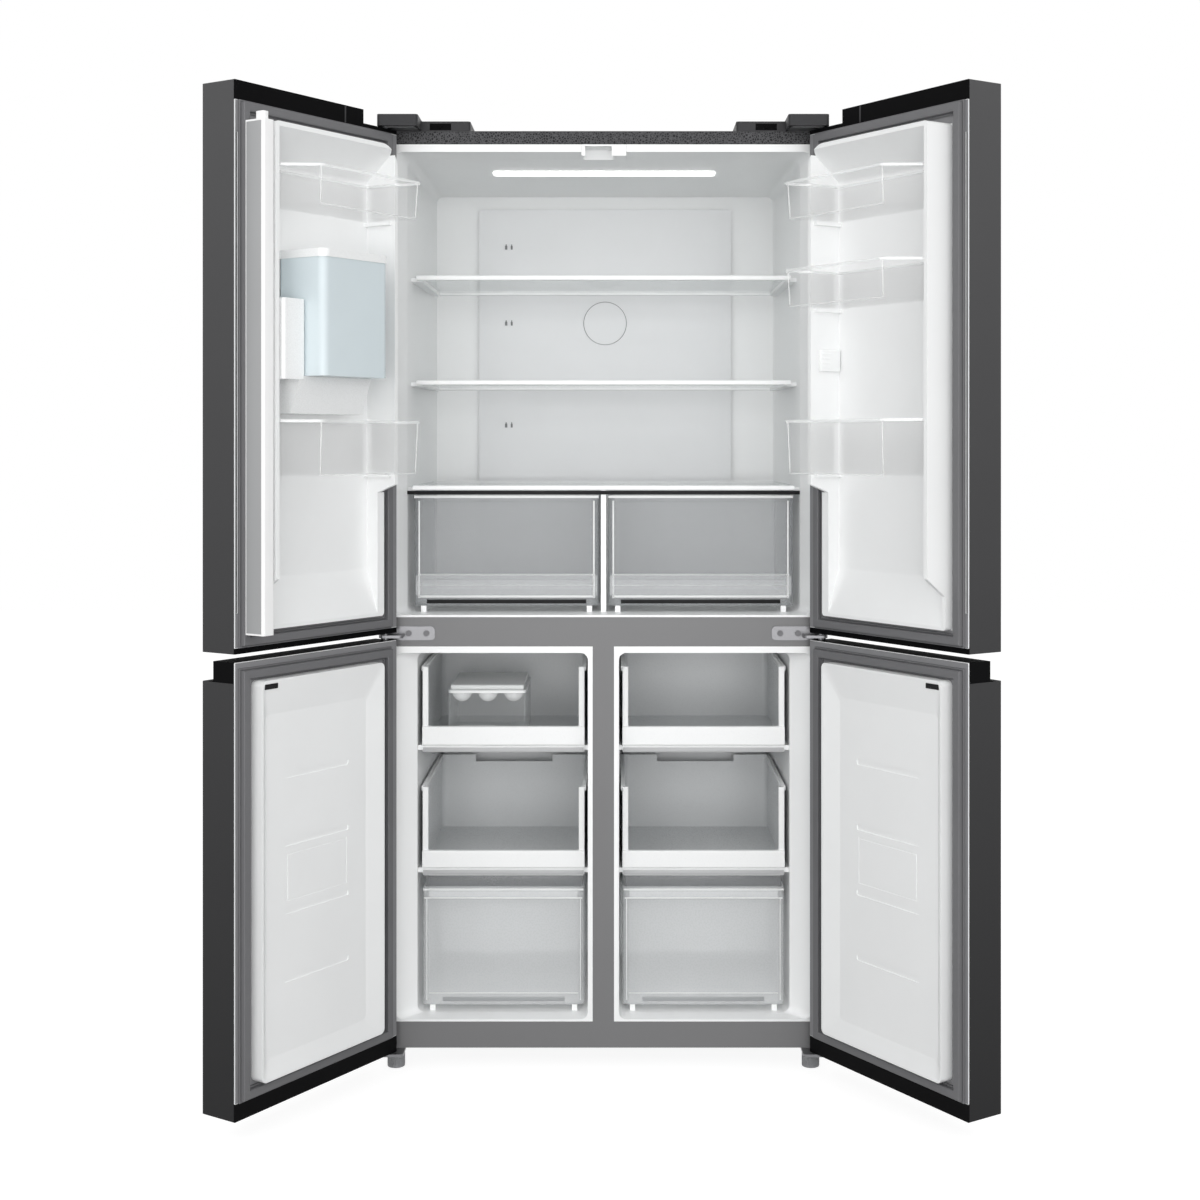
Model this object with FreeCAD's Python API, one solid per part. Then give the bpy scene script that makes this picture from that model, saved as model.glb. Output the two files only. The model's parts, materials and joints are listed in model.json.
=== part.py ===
import FreeCAD, Part
import math
import os

os.makedirs("parts", exist_ok=True)

# A four-door refrigerator with its doors open. Sizes are in millimetres, +Z is up, the doors face -Y
# and +X is to the right of someone who looks into it. Y is counted from the cabinet's front plane
# until the last step, which moves the whole object so that its base is centred on the origin.

# Cabinet
cabinet_width = 833.0
cabinet_depth = 580.0
cabinet_bottom = 40.0
cabinet_top = 1756.0
sheet = 0.8  # steel sheet
liner_wall = 2.5  # moulded liner sheet
fit = 0.3  # clearance of pieces that slide, turn or lie in a seat
flange_width = 27.5  # folded front edge of a side panel
corner_round = 14.0  # inner corners of the liners

# Front frame, from the top down
trim_height = 25.0
trim_depth = 12.0
trim_round = 1.5
lip_height = 14.0
beam_bottom = 791.0
beam_height = 55.0
rail_height = 49.0
frame_plate = 1.5
frame_return = 20.0  # depth of the frame members' folded edges
sill_height = 4.0
freezer_lip = 12.0
post_width = 40.0
post_lip = 9.0

# Fridge compartment
fridge_back_room = 60.0  # insulation behind the liner
fridge_depth = cabinet_depth - fridge_back_room
fridge_jamb_depth = 60.0
fridge_jamb_inset = 15.0
fridge_back_inset = 25.0
ceiling_fall = 13.0
jamb_fall = 5.0

# Freezer compartments
freezer_back_room = 70.0
freezer_depth = cabinet_depth - freezer_back_room
freezer_jamb_depth = 35.0
freezer_jamb_inset = 37.0
freezer_back_inset = 43.0
freezer_floor_rise = 5.0
hump_height = 250.0  # step over the machine room, measured from the floor
machine_room_depth = 175.0
hump_front = cabinet_depth - machine_room_depth

# Shelves
shelf_shares = (0.7336, 0.5006)  # of the fridge's height
shelf_bar_height = 9.0
shelf_bar_depth = 14.0
shelf_bar_round = 2.0
shelf_front = 98.0
shelf_back_room = 56.0
shelf_side_gap = 25.5  # from the side of the opening
glass_thickness = 4.0
glass_seat = shelf_bar_height - glass_thickness  # the glass lies flush with its bars
glass_inset = 2.5
cover_share = 0.2676  # glass over the vegetable drawers
cover_front = 60.0
cover_back_room = 60.0
cover_side_gap = 23.0
ledge_reach = 10.0
ledge_height = 7.0
divider_width = 10.0

# Vegetable drawers
crisper_floor_gap = 12.0
crisper_cover_gap = 10.0
crisper_front = 62.0
crisper_back_room = 90.0
crisper_side_gap = 27.0
crisper_gap = 3.0
ridge_rise = 50.0
tray_wall = 2.5
tray_round = 14.0
rim_height = 12.0
rim_depth = 5.0
ridge_height = 10.0
rib_width = 10.0

# Freezer drawers: bottom, top of the front lip and top of the sides, as shares of the freezer's height
drawer_shares = {"upper": (0.7376, 0.7901, 0.9548), "middle": (0.3994, 0.4475, 0.6224)}
lower_drawer_shares = (0.0204, 0.3455)
drawer_post_gap = 7.0
drawer_side_gap = 46.0  # from the side of the opening
drawer_front = 45.0
drawer_back_room = 10.0
drawer_band = 11.0  # width of the side walls' front edges
mouth_round = 2.0
band_round = 1.5
lip_round = 3.0
lip_depth = 8.0
grip_drop = 12.0
grip_depth = 4.0
back_notch_width = 160.0
back_notch_depth = 14.0
pull_height = 44.0
pull_rise = 25.0
pull_depth = 14.0
drawer_ledge_reach = 18.0
drawer_ledge_height = 9.0

# Duct covers, lamp and guide of the folding post
duct_side_gap = 118.0
duct_top_gap = 42.0
duct_bottom_gap = 20.0
duct_proud = 20.0
duct_round = 8.0
duct_ring_radius = 46.0
duct_ring_share = 0.6678  # of the fridge's height
duct_ring_proud = 1.5
freezer_duct_room = 70.0  # for the evaporator
freezer_duct_wall = 6.0
freezer_duct_margin = 4.0
slot_width = 62.0
slot_height = 8.0
slot_drop = 84.0
lamp_length = 441.0
lamp_width = 45.0
lamp_y = 214.0
lamp_flange = 2.0
lamp_frame = 2.5
lamp_neck = 12.0
lamp_round = 8.0
guide_left = -41.0
guide_right = 43.0
guide_back = 62.0
guide_height = 21.0
guide_round = 6.0
guide_wall = 3.0
guide_pocket_right = 20.0
guide_pocket_back = 50.0

# Doors, shut: the back face stands off the cabinet by the gasket
gasket_height = 12.0
gasket_width = 22.0
gasket_bead = 6.0
gasket_step = 2.5
door_thickness = 78.0
door_gap = 2.0  # from the middle of the cabinet to a door's free edge
door_round = 5.0
door_open = 123.0  # degrees, as it stands
upper_door_lap = 29.0  # height of the upper doors' lower edge above the cross beam's underside
upper_door_rise = 21.0  # above the cabinet's top
upper_cap = 33.0
upper_base_cap = 10.0
lower_door_gap = 2.0
lower_door_lap = 15.0
lower_cap = 30.0
cap_wall = 3.0
hem_width = 8.0
hinge_notch = 92.5
hinge_notch_drop = 4.0
gasket_hinge_inset = 18.5
gasket_free_inset = 7.0
gasket_end_margin = 10.0

# Finger pulls
groove_inset = 1.8
groove_width = 4.2
groove_depth = 12.0
groove_wall = 2.0
groove_bottom_gap = 68.0
groove_top_gap = 87.0
pull_lip_drop = 35.0
pull_drop = 61.0
pull_floor_wall = 7.0
pull_lip_wall = 12.0
pull_gap = 15.0

# Inner faces of the doors
dyke_hinge_inset = 64.5
dyke_free_inset = 38.0
dyke_end_inset = 27.0
dyke_top_inset = 35.0
dyke_wall = 8.0
dyke_rise = 45.0  # in front of the cabinet plane, above the drawers
dyke_low_rise = 4.0
dyke_low_spread = 10.0
dyke_low_share = 0.2738  # of the door's height, beside the drawers
dyke_step = 15.0
free_wall_share = 0.0836  # foot of the wall on the free side
free_wall_slope = 45.0
dyke_round = 42.0  # top corner on the hinge side
dyke_small_round = 6.0
recess_depth = 6.5
recess_top_slope = 55.0
recess_base_slope = 80.0
recess_base_border = 6.0
recess_round = 12.0
pan_wall = 3.0
panel_end_inset = 27.0
panel_top_inset = 33.0
panel_rise = 14.0
panel_round = 10.0
panel_border = 3.0
panel_recess = 8.0
panel_top_slope = 56.0
panel_base_slope = 32.0
panel_hinge_slope = 40.0
panel_free_slope = 12.0
emboss_length = 162.0
emboss_height = 10.0
emboss_depth = 1.5
emboss_shares = (0.7369, 0.5851, 0.4332, 0.2814)  # of the lower door's height
frame_length = 152.0
frame_height = 82.0
frame_line = 3.0
frame_depth = 1.0

# Door bins: underside and height of each, as shares of the upper door's height
left_bin_shares = {"lower": (0.3093, 0.0993)}
right_bin_shares = {"middle": (0.6217, 0.0711), "lower": (0.3093, 0.1014)}
upper_bin_height = 68.0
upper_bin_gap = 6.0  # under the slope at the top of the recess
bin_wall = 2.2
bin_reach = 98.0
bin_side_gap = 2.0
bin_back_gap = 4.0
bin_round = 8.0
bin_free_slant = 44.0  # the end on the free side slants back to the dyke
bin_slant_front = 38.0
bin_hinge_spread = 13.0  # the end on the hinge side stands over the dyke
bin_dyke_gap = 2.0
bin_rim_round = 1.5
bin_ledge = 8.0
bin_ledge_height = 6.0
bin_ledge_front = 38.0

# Water tank and dispenser
tank_bottom_share = 0.4864  # of the upper door's height
tank_share = 0.21
tank_side_gap = 70.0  # from the recess's hinge side
tank_block_gap = 2.0
tank_back_gap = 5.0
tank_front = 90.0
tank_wall = 2.5
tank_round = 14.0
lid_height = 14.0
lid_overhang = 2.0
hopper_share = 0.4201
hopper_spread = 14.0
hopper_front = 50.0
hopper_taper = 22.0
block_share = 0.6217
block_width = 52.0
block_side_gap = 4.0  # from the recess's free side
block_front = 51.0
block_drop = 6.0
block_round = 5.0
spout_width = 30.0
spout_inset = 34.0  # from the tank's free side
spout_height = 18.0
housing_width = 110.0
housing_offset = 1.0  # past the tank's free side
housing_height = 210.0
housing_top_gap = 28.0
housing_back_gap = 2.0
housing_wall = 3.0
bezel_width = 9.0
bezel_proud = 1.5
bezel_round = 6.0
paddle_width = 40.0
paddle_length = 90.0
paddle_thickness = 4.0
paddle_round = 8.0
paddle_depth = 40.0  # behind the door's front
paddle_top_gap = 16.0
paddle_pin_radius = 3.0

# Folding post, shut flat across the gap between the upper doors
flip_width = 44.0
flip_thickness = 26.5
flip_skin = 1.5
flip_foot_gap = 7.0
flip_head_gap = 2.0
flip_face_gap = 0.6
flip_pivot_in = 6.5
flip_pivot_edge = 5.5
flip_round = 5.0
flip_pin_radius = 2.0
flip_pin_length = 8.0
lug_shares = (0.0608, 0.4994, 0.9322)  # of the post's height
lug_height = 8.0
lug_half = 4.0
knob_width = 14.0
knob_length = 20.0
knob_height = 14.0
knob_offset = 28.0
knob_round = 5.0

# Hinges, feet and rollers
pin_inset = 12.5  # from the cabinet's side
pin_y = -28.0
pin_radius = 5.0
hinge_plate = 3.0
hinge_arm = 5.0
hinge_arm_reach = 10.0
top_hinge_width = 68.0
top_hinge_length = 110.0
middle_plate_width = 80.0
middle_plate_inset = 21.5  # from the cabinet's side
middle_plate_rise = 12.0  # above the cross beam's underside
middle_plate_height = 26.0
middle_arm_rise = 19.5
middle_arm_lap = 24.0
bracket_round = 8.0
pin_engagement = 20.0
bottom_plate_width = 46.0
bottom_plate_length = 70.0
screw_head_radius = 5.5
screw_head_height = 2.5
screw_shank_radius = 2.5
screw_shank_length = 12.0
screw_head_round = 1.0
screw_inner_margin = 16.0
screw_outer_margin = 31.0
cover_run = 167.5  # from the cabinet's side
cover_block_width = 75.0
cover_overhang = 60.0
cover_length = 120.0
cover_low_drop = 3.0
cover_wall = 2.5
cover_round = 6.0
foot_radius = 16.5
foot_height = 27.0
foot_stem_radius = 5.0
foot_inset = 26.5
foot_y = 20.0
foot_ribs = 24
foot_rib_radius = 1.2
foot_rib_margin = 6.0
foot_edge_round = 1.5
roller_radius = 18.0
roller_width = 16.0
roller_inset = 86.5
roller_back_room = 50.0
roller_y = cabinet_depth - roller_back_room
roller_edge_round = 2.0
axle_radius = 4.0
ear_thickness = 2.5
ear_half = 12.0

# Machine room and cooling
base_plate = 2.0
base_front = 40.0
cover_slots = 12
cover_slot_width = 30.0
cover_slot_height = 4.0
cover_slot_pitch = 55.0
cover_slot_rows = 3
cover_first_row = 60.0
cover_row_pitch = 40.0
compressor_radius = 72.0
compressor_height = 165.0
compressor_wall = 8.0
compressor_x = 150.0
compressor_back_room = 85.0
compressor_y = cabinet_depth - compressor_back_room
compressor_round = 32.0
compressor_foot_half = 50.0
compressor_foot_round = 12.0
compressor_foot = 6.0
fin_count = 16
fin_thickness = 1.0
fin_depth = 42.0
fin_floor_gap = 25.0
fin_top_gap = 179.0
fin_side_gap = 21.0
fin_post_gap = 31.0
coil_radius = 4.0
coil_rows = 4
fan_drop = 89.0  # under the freezer's ceiling
fan_radius = 52.0
fan_hub_radius = 13.0
fan_depth = 14.0
fan_blades = 5
fan_blade_thickness = 2.0
fan_blade_pitch = 30.0
fan_motor_radius = 18.0
fan_motor_depth = 14.0
fan_shaft_radius = 2.5

# Ice tray
ice_side_gap = 43.0
ice_width = 150.0
ice_front_gap = 55.0
ice_length = 200.0
tray_rim = 88.0
cup_count = 3
cup_rows = 4
cup_radius = 21.0
cup_wall = 1.6
ice_lid_height = 12.0

# Places worked out from the sizes above
V = FreeCAD.Vector
half_width = cabinet_width / 2
half_opening = half_width - flange_width
trim_bottom = cabinet_top - trim_height
fridge_ceiling = trim_bottom - lip_height
guide_top = trim_bottom
guide_bottom = guide_top - guide_height
beam_top = beam_bottom + beam_height
fridge_floor = beam_top + sill_height
freezer_ceiling = beam_bottom - freezer_lip
rail_top = cabinet_bottom + rail_height
freezer_floor = rail_top + sill_height
fridge_height = fridge_ceiling - fridge_floor
freezer_height = freezer_ceiling - freezer_floor
shelf_heights = [fridge_floor + share * fridge_height for share in shelf_shares]
shelf_depth = fridge_depth - shelf_front - shelf_back_room
cover_height = fridge_floor + cover_share * fridge_height
cover_depth = fridge_depth - cover_front - cover_back_room
crisper_bottom = fridge_floor + crisper_floor_gap
crisper_top = cover_height - crisper_cover_gap
crisper_ridge = crisper_bottom + ridge_rise
crisper_length = fridge_depth - crisper_front - crisper_back_room
duct_top = fridge_ceiling - duct_top_gap
duct_bottom = fridge_floor + duct_bottom_gap
duct_ring_height = fridge_floor + duct_ring_share * fridge_height
freezer_duct_y = freezer_depth - freezer_duct_room
drawer_levels = {level: [freezer_floor + share * freezer_height for share in shares]
                 for level, shares in drawer_shares.items()}
lower_drawer = [freezer_floor + share * freezer_height for share in lower_drawer_shares]
drawer_length = hump_front - drawer_front - drawer_back_room
upper_door_bottom = beam_bottom + upper_door_lap
upper_door_top = cabinet_top + upper_door_rise
upper_door_height = upper_door_top - upper_door_bottom
lower_door_bottom = cabinet_bottom + lower_door_gap
lower_door_top = beam_bottom + lower_door_lap
hinge_notch_floor = cabinet_top - hinge_notch_drop
groove_bottom = upper_door_bottom + groove_bottom_gap
groove_top = upper_door_top - groove_top_gap
pull_lip_top = lower_door_top - pull_lip_drop
pull_floor = lower_door_top - pull_drop
dyke_low_top = upper_door_bottom + dyke_low_share * upper_door_height
dyke_high_bottom = dyke_low_top + dyke_step
free_wall_foot = upper_door_bottom + free_wall_share * upper_door_height
lower_door_height = lower_door_top - lower_door_bottom
emboss_heights = [lower_door_bottom + share * lower_door_height for share in emboss_shares]
left_bins = {level: (upper_door_bottom + low * upper_door_height, tall * upper_door_height)
             for level, (low, tall) in left_bin_shares.items()}
right_bins = {level: (upper_door_bottom + low * upper_door_height, tall * upper_door_height)
              for level, (low, tall) in right_bin_shares.items()}
recess_top = upper_door_top - upper_cap - dyke_top_inset - dyke_wall
upper_bin_bottom = recess_top - recess_top_slope - upper_bin_gap - upper_bin_height
left_bins["upper"] = right_bins["upper"] = (upper_bin_bottom, upper_bin_height)
tank_bottom = upper_door_bottom + tank_bottom_share * upper_door_height
tank_top = tank_bottom + tank_share * upper_door_height
hopper_bottom = upper_door_bottom + hopper_share * upper_door_height
hopper_top = tank_bottom - fit
block_top = upper_door_bottom + block_share * upper_door_height
housing_top = hopper_bottom + housing_top_gap
housing_bottom = housing_top - housing_height
flip_bottom = beam_top + flip_foot_gap
flip_top = guide_bottom - flip_head_gap
lug_heights = [flip_bottom + share * (flip_top - flip_bottom) for share in lug_shares]
middle_plate_bottom = beam_bottom + middle_plate_rise
middle_arm_bottom = beam_bottom + middle_arm_rise
post_half = post_width / 2
freezer_inner = post_half + post_lip
freezer_back_left = freezer_inner + freezer_floor_rise
freezer_back_right = half_opening - freezer_back_inset
shelf_half = half_opening - shelf_side_gap
cover_half = half_opening - cover_side_gap
crisper_half = half_opening - crisper_side_gap
duct_half = half_opening - duct_side_gap
drawer_inner = freezer_inner + drawer_post_gap
drawer_outer = half_opening - drawer_side_gap
tray_x0 = -drawer_outer + ice_side_gap
tray_x1 = tray_x0 + ice_width
tray_y0 = drawer_front + ice_front_gap
tray_y1 = tray_y0 + ice_length
fin_left = -freezer_back_right + fin_side_gap
fin_right = -freezer_back_left - fin_post_gap
fin_bottom = hump_height + fin_floor_gap
fin_top = freezer_ceiling - fin_top_gap
fan_x = -(freezer_back_left + freezer_back_right) / 2
fan_z = freezer_ceiling - fan_drop
middle_plate_outer = half_width - middle_plate_inset
middle_plate_inner = middle_plate_outer - middle_plate_width
cover_inner_end = half_width - cover_run
foot_x = half_width - foot_inset
roller_x = half_width - roller_inset
pin_x = -half_width + pin_inset
door_back = -gasket_height
door_front = door_back - door_thickness
rim_back = door_back - liner_wall
hinge_edge = -half_width
free_edge = -door_gap
gasket_left = hinge_edge + gasket_hinge_inset
gasket_right = free_edge - gasket_free_inset
dyke_left = hinge_edge + dyke_hinge_inset
dyke_right = free_edge - dyke_free_inset
recess_left = dyke_left + dyke_wall
recess_right = dyke_right - dyke_wall
recess_floor = rim_back - recess_depth
housing_back = recess_floor - pan_wall - housing_back_gap
block_right = recess_right - block_side_gap
block_left = block_right - block_width
tank_hinge_side = recess_left + tank_side_gap
tank_free_side = block_left - tank_block_gap
hopper_free_side = tank_free_side + hopper_spread
spout_right = tank_free_side - spout_inset
spout_left = spout_right - spout_width
housing_right = tank_free_side + housing_offset
housing_left = housing_right - housing_width
up = V(0, 0, 1)
along_x = V(1, 0, 0)
along_y = V(0, 1, 0)


def block(x0, x1, y0, y1, z0, z1):
    return Part.makeBox(x1 - x0, y1 - y0, z1 - z0, V(x0, y0, z0))


def rod(radius, x, y, z0, z1):
    return Part.makeCylinder(radius, z1 - z0, V(x, y, z0), up)


def joined(shapes):
    whole = shapes[0]
    for shape in shapes[1:]:
        whole = whole.fuse(shape)
    return whole.removeSplitter()


def straight_edges(shape, direction):
    """The straight edges that run along one direction."""
    found = []
    for edge in shape.Edges:
        ends = edge.Vertexes
        if len(ends) == 2 and isinstance(edge.Curve, Part.Line):
            run = ends[1].Point.sub(ends[0].Point)
            if run.Length > 0 and abs(run.normalize().dot(direction)) > 0.9999:
                found.append(edge)
    return found


def rounded(shape, radius, *directions):
    for direction in directions:
        shape = shape.makeFillet(radius, straight_edges(shape, direction))
    return shape


def mirrored(shape):
    return shape.mirror(V(0, 0, 0), along_x)


def prism_x(points, x0, x1):
    """A profile of (y, z) points drawn out along X."""
    corners = [V(x0, y, z) for y, z in points]
    face = Part.Face(Part.makePolygon(corners + corners[:1]))
    return face.extrude(V(x1 - x0, 0, 0))


def prism_z(points, z0, z1):
    """A profile of (x, y) points drawn out along Z."""
    corners = [V(x, y, z0) for x, y in points]
    face = Part.Face(Part.makePolygon(corners + corners[:1]))
    return face.extrude(V(0, 0, z1 - z0))


def inset(points, distance):
    """The corners of a profile drawn anticlockwise, with every side moved inwards."""
    moved = []
    for i, (x, y) in enumerate(points):
        ax, ay = x - points[i - 1][0], y - points[i - 1][1]
        bx, by = points[(i + 1) % len(points)][0] - x, points[(i + 1) % len(points)][1] - y
        a, b = math.hypot(ax, ay), math.hypot(bx, by)
        turn = (ax * by - ay * bx) / (a * b)
        along = (ax * bx + ay * by) / (a * b)
        shift = distance * math.tan(math.atan2(turn, along) / 2)
        moved.append((x - ay / a * distance - ax / a * shift, y + ax / a * distance - ay / a * shift))
    return moved


def opening_wire(x0, x1, z0, z1, y, radius):
    """A rectangle with round corners, standing across Y."""
    turn = math.sqrt(0.5) * radius
    corners = [(x1, z1, 1, 1), (x0, z1, -1, 1), (x0, z0, -1, -1), (x1, z0, 1, -1)]
    starts, middles, ends = [], [], []
    for x, z, sx, sz in corners:
        cx, cz = x - sx * radius, z - sz * radius
        first, second = V(x, y, cz), V(cx, y, z)
        if sx * sz < 0:
            first, second = second, first
        starts.append(first)
        middles.append(V(cx + sx * turn, y, cz + sz * turn))
        ends.append(second)
    edges = []
    for i in range(4):
        edges.append(Part.Arc(starts[i], middles[i], ends[i]).toShape())
        edges.append(Part.LineSegment(ends[i], starts[(i + 1) % 4]).toShape())
    return Part.Wire(edges)


def cavity(sections, grow):
    """The space inside a liner, through openings at several depths, grown on every side."""
    wires = []
    for i, (y, x0, x1, z0, z1) in enumerate(sections):
        last = i == len(sections) - 1
        wires.append(opening_wire(x0 - grow, x1 + grow, z0 - grow, z1 + grow,
                                  y + (grow if last else 0), corner_round + grow))
    return Part.makeLoft(wires, True, True)


def ring(x0, x1, z0, z1, width, y0, y1):
    """A rectangular frame that lies across Y."""
    return block(x0, x1, y0, y1, z0, z1).cut(
        block(x0 + width, x1 - width, y0, y1, z0 + width, z1 - width))


def open_tray(x0, x1, y0, y1, z0, z1, wall, radius):
    """A box without a lid, with round upright corners."""
    outer = rounded(block(x0, x1, y0, y1, z0, z1), radius, up)
    inner = rounded(block(x0 + wall, x1 - wall, y0 + wall, y1 - wall, z0 + wall, z1 + wall),
                    radius - wall, up)
    return outer.cut(inner)


nodes = {}


# Outer shell: two side panels with folded front edges, and the top
def side_panel():
    plate = block(-half_width, -half_width + sheet, 0, cabinet_depth, cabinet_bottom, cabinet_top)
    fold = block(-half_width, -half_opening - fit, 0, sheet, cabinet_bottom, cabinet_top)
    return plate.fuse(fold).removeSplitter()


top_sheet = block(-half_width + sheet, half_width - sheet, sheet, cabinet_depth,
                  cabinet_top - sheet, cabinet_top)
nodes["outer_shell"] = [side_panel(), mirrored(side_panel()), top_sheet]
inside = half_width - sheet
nodes["rear_panel"] = [block(-inside, inside, cabinet_depth - sheet, cabinet_depth,
                             hump_height, cabinet_top - sheet)]

# Front frame: strip over the opening, beam, post and bottom rail
nodes["top_trim"] = [rounded(block(-half_opening, half_opening, 0, trim_depth, trim_bottom,
                                   cabinet_top - sheet), trim_round, along_x)]


def frame_beam(z0, z1):
    back = frame_plate + frame_return
    outer = block(-half_opening, half_opening, 0, back, z0, z1)
    return outer.cut(block(-half_opening, half_opening, frame_plate, back,
                           z0 + frame_plate, z1 - frame_plate))


nodes["cross_beam"] = [frame_beam(beam_bottom, beam_top)]
nodes["bottom_rail"] = [frame_beam(cabinet_bottom, rail_top)]
post_back = frame_plate + frame_return
nodes["freezer_mullion"] = [
    block(-post_half, post_half, 0, post_back, rail_top, beam_bottom).cut(
        block(-post_half + frame_plate, post_half - frame_plate, frame_plate, post_back,
              rail_top, beam_bottom))]

# Fridge liner with its shelf ledges and drawer rails
fridge_sections = [
    (0, -half_opening, half_opening, fridge_floor, fridge_ceiling),
    (fridge_jamb_depth, -half_opening + fridge_jamb_inset, half_opening - fridge_jamb_inset,
     fridge_floor, fridge_ceiling - jamb_fall),
    (fridge_depth, -half_opening + fridge_back_inset, half_opening - fridge_back_inset,
     fridge_floor, fridge_ceiling - ceiling_fall)]
fridge_outer = cavity(fridge_sections, liner_wall)
fridge_inner = cavity(fridge_sections, 0)
flange_side = half_width - sheet - fit


def ledge_pair(z_top, half, y0, y1):
    """A rib on each side wall, under the edges of a shelf."""
    inner_end = half - ledge_reach
    rib = block(inner_end, half_opening, y0, y1, z_top - ledge_height, z_top)
    return [rib.common(fridge_outer), mirrored(rib).common(fridge_outer)]


ledges = []
for height in shelf_heights:
    ledges += ledge_pair(height + glass_seat, shelf_half - glass_inset,
                         shelf_front + shelf_bar_depth, shelf_front + shelf_depth - shelf_bar_depth)
ledges += ledge_pair(cover_height + glass_seat, cover_half - glass_inset,
                     cover_front + shelf_bar_depth, cover_front + cover_depth - shelf_bar_depth)
crisper_near = divider_width / 2 + crisper_gap
rail_places = (crisper_near + tray_round, crisper_half - tray_round - rib_width)
for x in rail_places:
    rail = block(x, x + rib_width, crisper_front, crisper_front + crisper_length,
                 fridge_floor - liner_wall, crisper_bottom - fit)
    ledges += [rail, mirrored(rail)]

lamp_half = lamp_length / 2
lamp_y0 = lamp_y - lamp_width / 2
lamp_y1 = lamp_y + lamp_width / 2
ceiling_rate = (ceiling_fall - jamb_fall) / (fridge_depth - fridge_jamb_depth)
lamp_seat = fridge_ceiling - jamb_fall - ceiling_rate * (lamp_y1 - fridge_jamb_depth) - fit
lamp_hole = block(-lamp_half + lamp_frame, lamp_half - lamp_frame, lamp_y0 + lamp_frame,
                  lamp_y1 - lamp_frame, lamp_seat, fridge_ceiling + liner_wall)
guide_hole = block(guide_left - fit, guide_right + fit, -fit, guide_back + fit,
                   guide_bottom, guide_top + fit)
fold_room = [block(x0, x1, -fit, sheet, 0, cabinet_top) for x0, x1 in
             ((-half_width, -half_opening), (half_opening, half_width))]
fridge_lip = block(-half_opening, half_opening, 0, liner_wall, beam_top, trim_bottom)
fridge_flange = block(-flange_side, flange_side, sheet, sheet + liner_wall, beam_top, trim_bottom)
fridge_walls = joined([fridge_outer, fridge_lip, fridge_flange]).cut(fridge_inner)
nodes["fridge_liner"] = [joined([fridge_walls] + ledges).cut(lamp_hole).cut(guide_hole).cut(fold_room)]

# Ceiling lamp: flange under the ceiling and a neck in its hole
neck_gap = lamp_frame + fit
nodes["ceiling_lamp"] = [joined([
    rounded(block(-lamp_half, lamp_half, lamp_y0, lamp_y1, lamp_seat - lamp_flange, lamp_seat),
            lamp_round, up),
    block(-lamp_half + neck_gap, lamp_half - neck_gap, lamp_y0 + neck_gap, lamp_y1 - neck_gap,
          lamp_seat - lamp_flange / 2, lamp_seat + lamp_neck)])]

# Guide of the folding post: a pocket open to the front and below
guide = block(guide_left, guide_right, 0, guide_back, guide_bottom, guide_top)
guide_pocket = block(guide_left + guide_wall, guide_pocket_right, -fit, guide_pocket_back,
                     guide_bottom - fit, guide_top - guide_wall)
nodes["mullion_guide"] = [guide.cut(rounded(guide_pocket, guide_round, up))]

# Duct cover on the fridge's back wall, with a round cover plate
duct = rounded(block(-duct_half, duct_half, fridge_depth - duct_proud, fridge_depth,
                     duct_bottom, duct_top), duct_round, along_y)
duct_ring = Part.makeCylinder(duct_ring_radius, duct_ring_proud + duct_proud / 2,
                              V(0, fridge_depth - duct_proud - duct_ring_proud, duct_ring_height), along_y)
duct_pocket = block(-duct_half + liner_wall, duct_half - liner_wall,
                    fridge_depth - duct_proud + liner_wall, fridge_depth,
                    duct_bottom + liner_wall, duct_top - liner_wall)
nodes["fridge_duct_cover"] = [duct.cut(duct_pocket).fuse(duct_ring).removeSplitter()]

# Shelves: glass panes, front and rear bars, centre divider
panes, bars = [], []


def shelf(bottom, half, y0, depth):
    y1 = y0 + depth
    pane = block(-half + glass_inset, half - glass_inset, y0 + shelf_bar_depth / 2,
                 y1 - shelf_bar_depth / 2, bottom + glass_seat, bottom + glass_seat + glass_thickness)
    for near in (y0, y1 - shelf_bar_depth):
        bar = rounded(block(-half + glass_inset, half - glass_inset, near, near + shelf_bar_depth, bottom,
                            bottom + shelf_bar_height), shelf_bar_round, along_x)
        bars.append(bar.cut(pane))
    panes.append(pane)


for height in shelf_heights:
    shelf(height, shelf_half, shelf_front, shelf_depth)
shelf(cover_height, cover_half, cover_front, cover_depth)
divider_half = divider_width / 2
bars.append(block(-divider_half, divider_half, crisper_front, crisper_front + crisper_length,
                  fridge_floor, cover_height))
nodes["shelf_glass"] = panes
nodes["shelf_frames"] = bars


# Vegetable drawers
def crisper():
    tray = open_tray(crisper_near, crisper_half, crisper_front, crisper_front + crisper_length,
                     crisper_bottom, crisper_top, tray_wall, tray_round)
    span = (crisper_near + tray_round, crisper_half - tray_round)
    rim = rounded(block(span[0], span[1], crisper_front - rim_depth, crisper_front + tray_wall,
                        crisper_top - rim_height, crisper_top), shelf_bar_round, along_x)
    ridge = rounded(block(span[0], span[1], crisper_front - rim_depth, crisper_front + tray_wall,
                          crisper_ridge, crisper_ridge + ridge_height), shelf_bar_round, along_x)
    return joined([tray, rim, ridge])


nodes["crisper_left"] = [mirrored(crisper())]
nodes["crisper_right"] = [crisper()]

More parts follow.
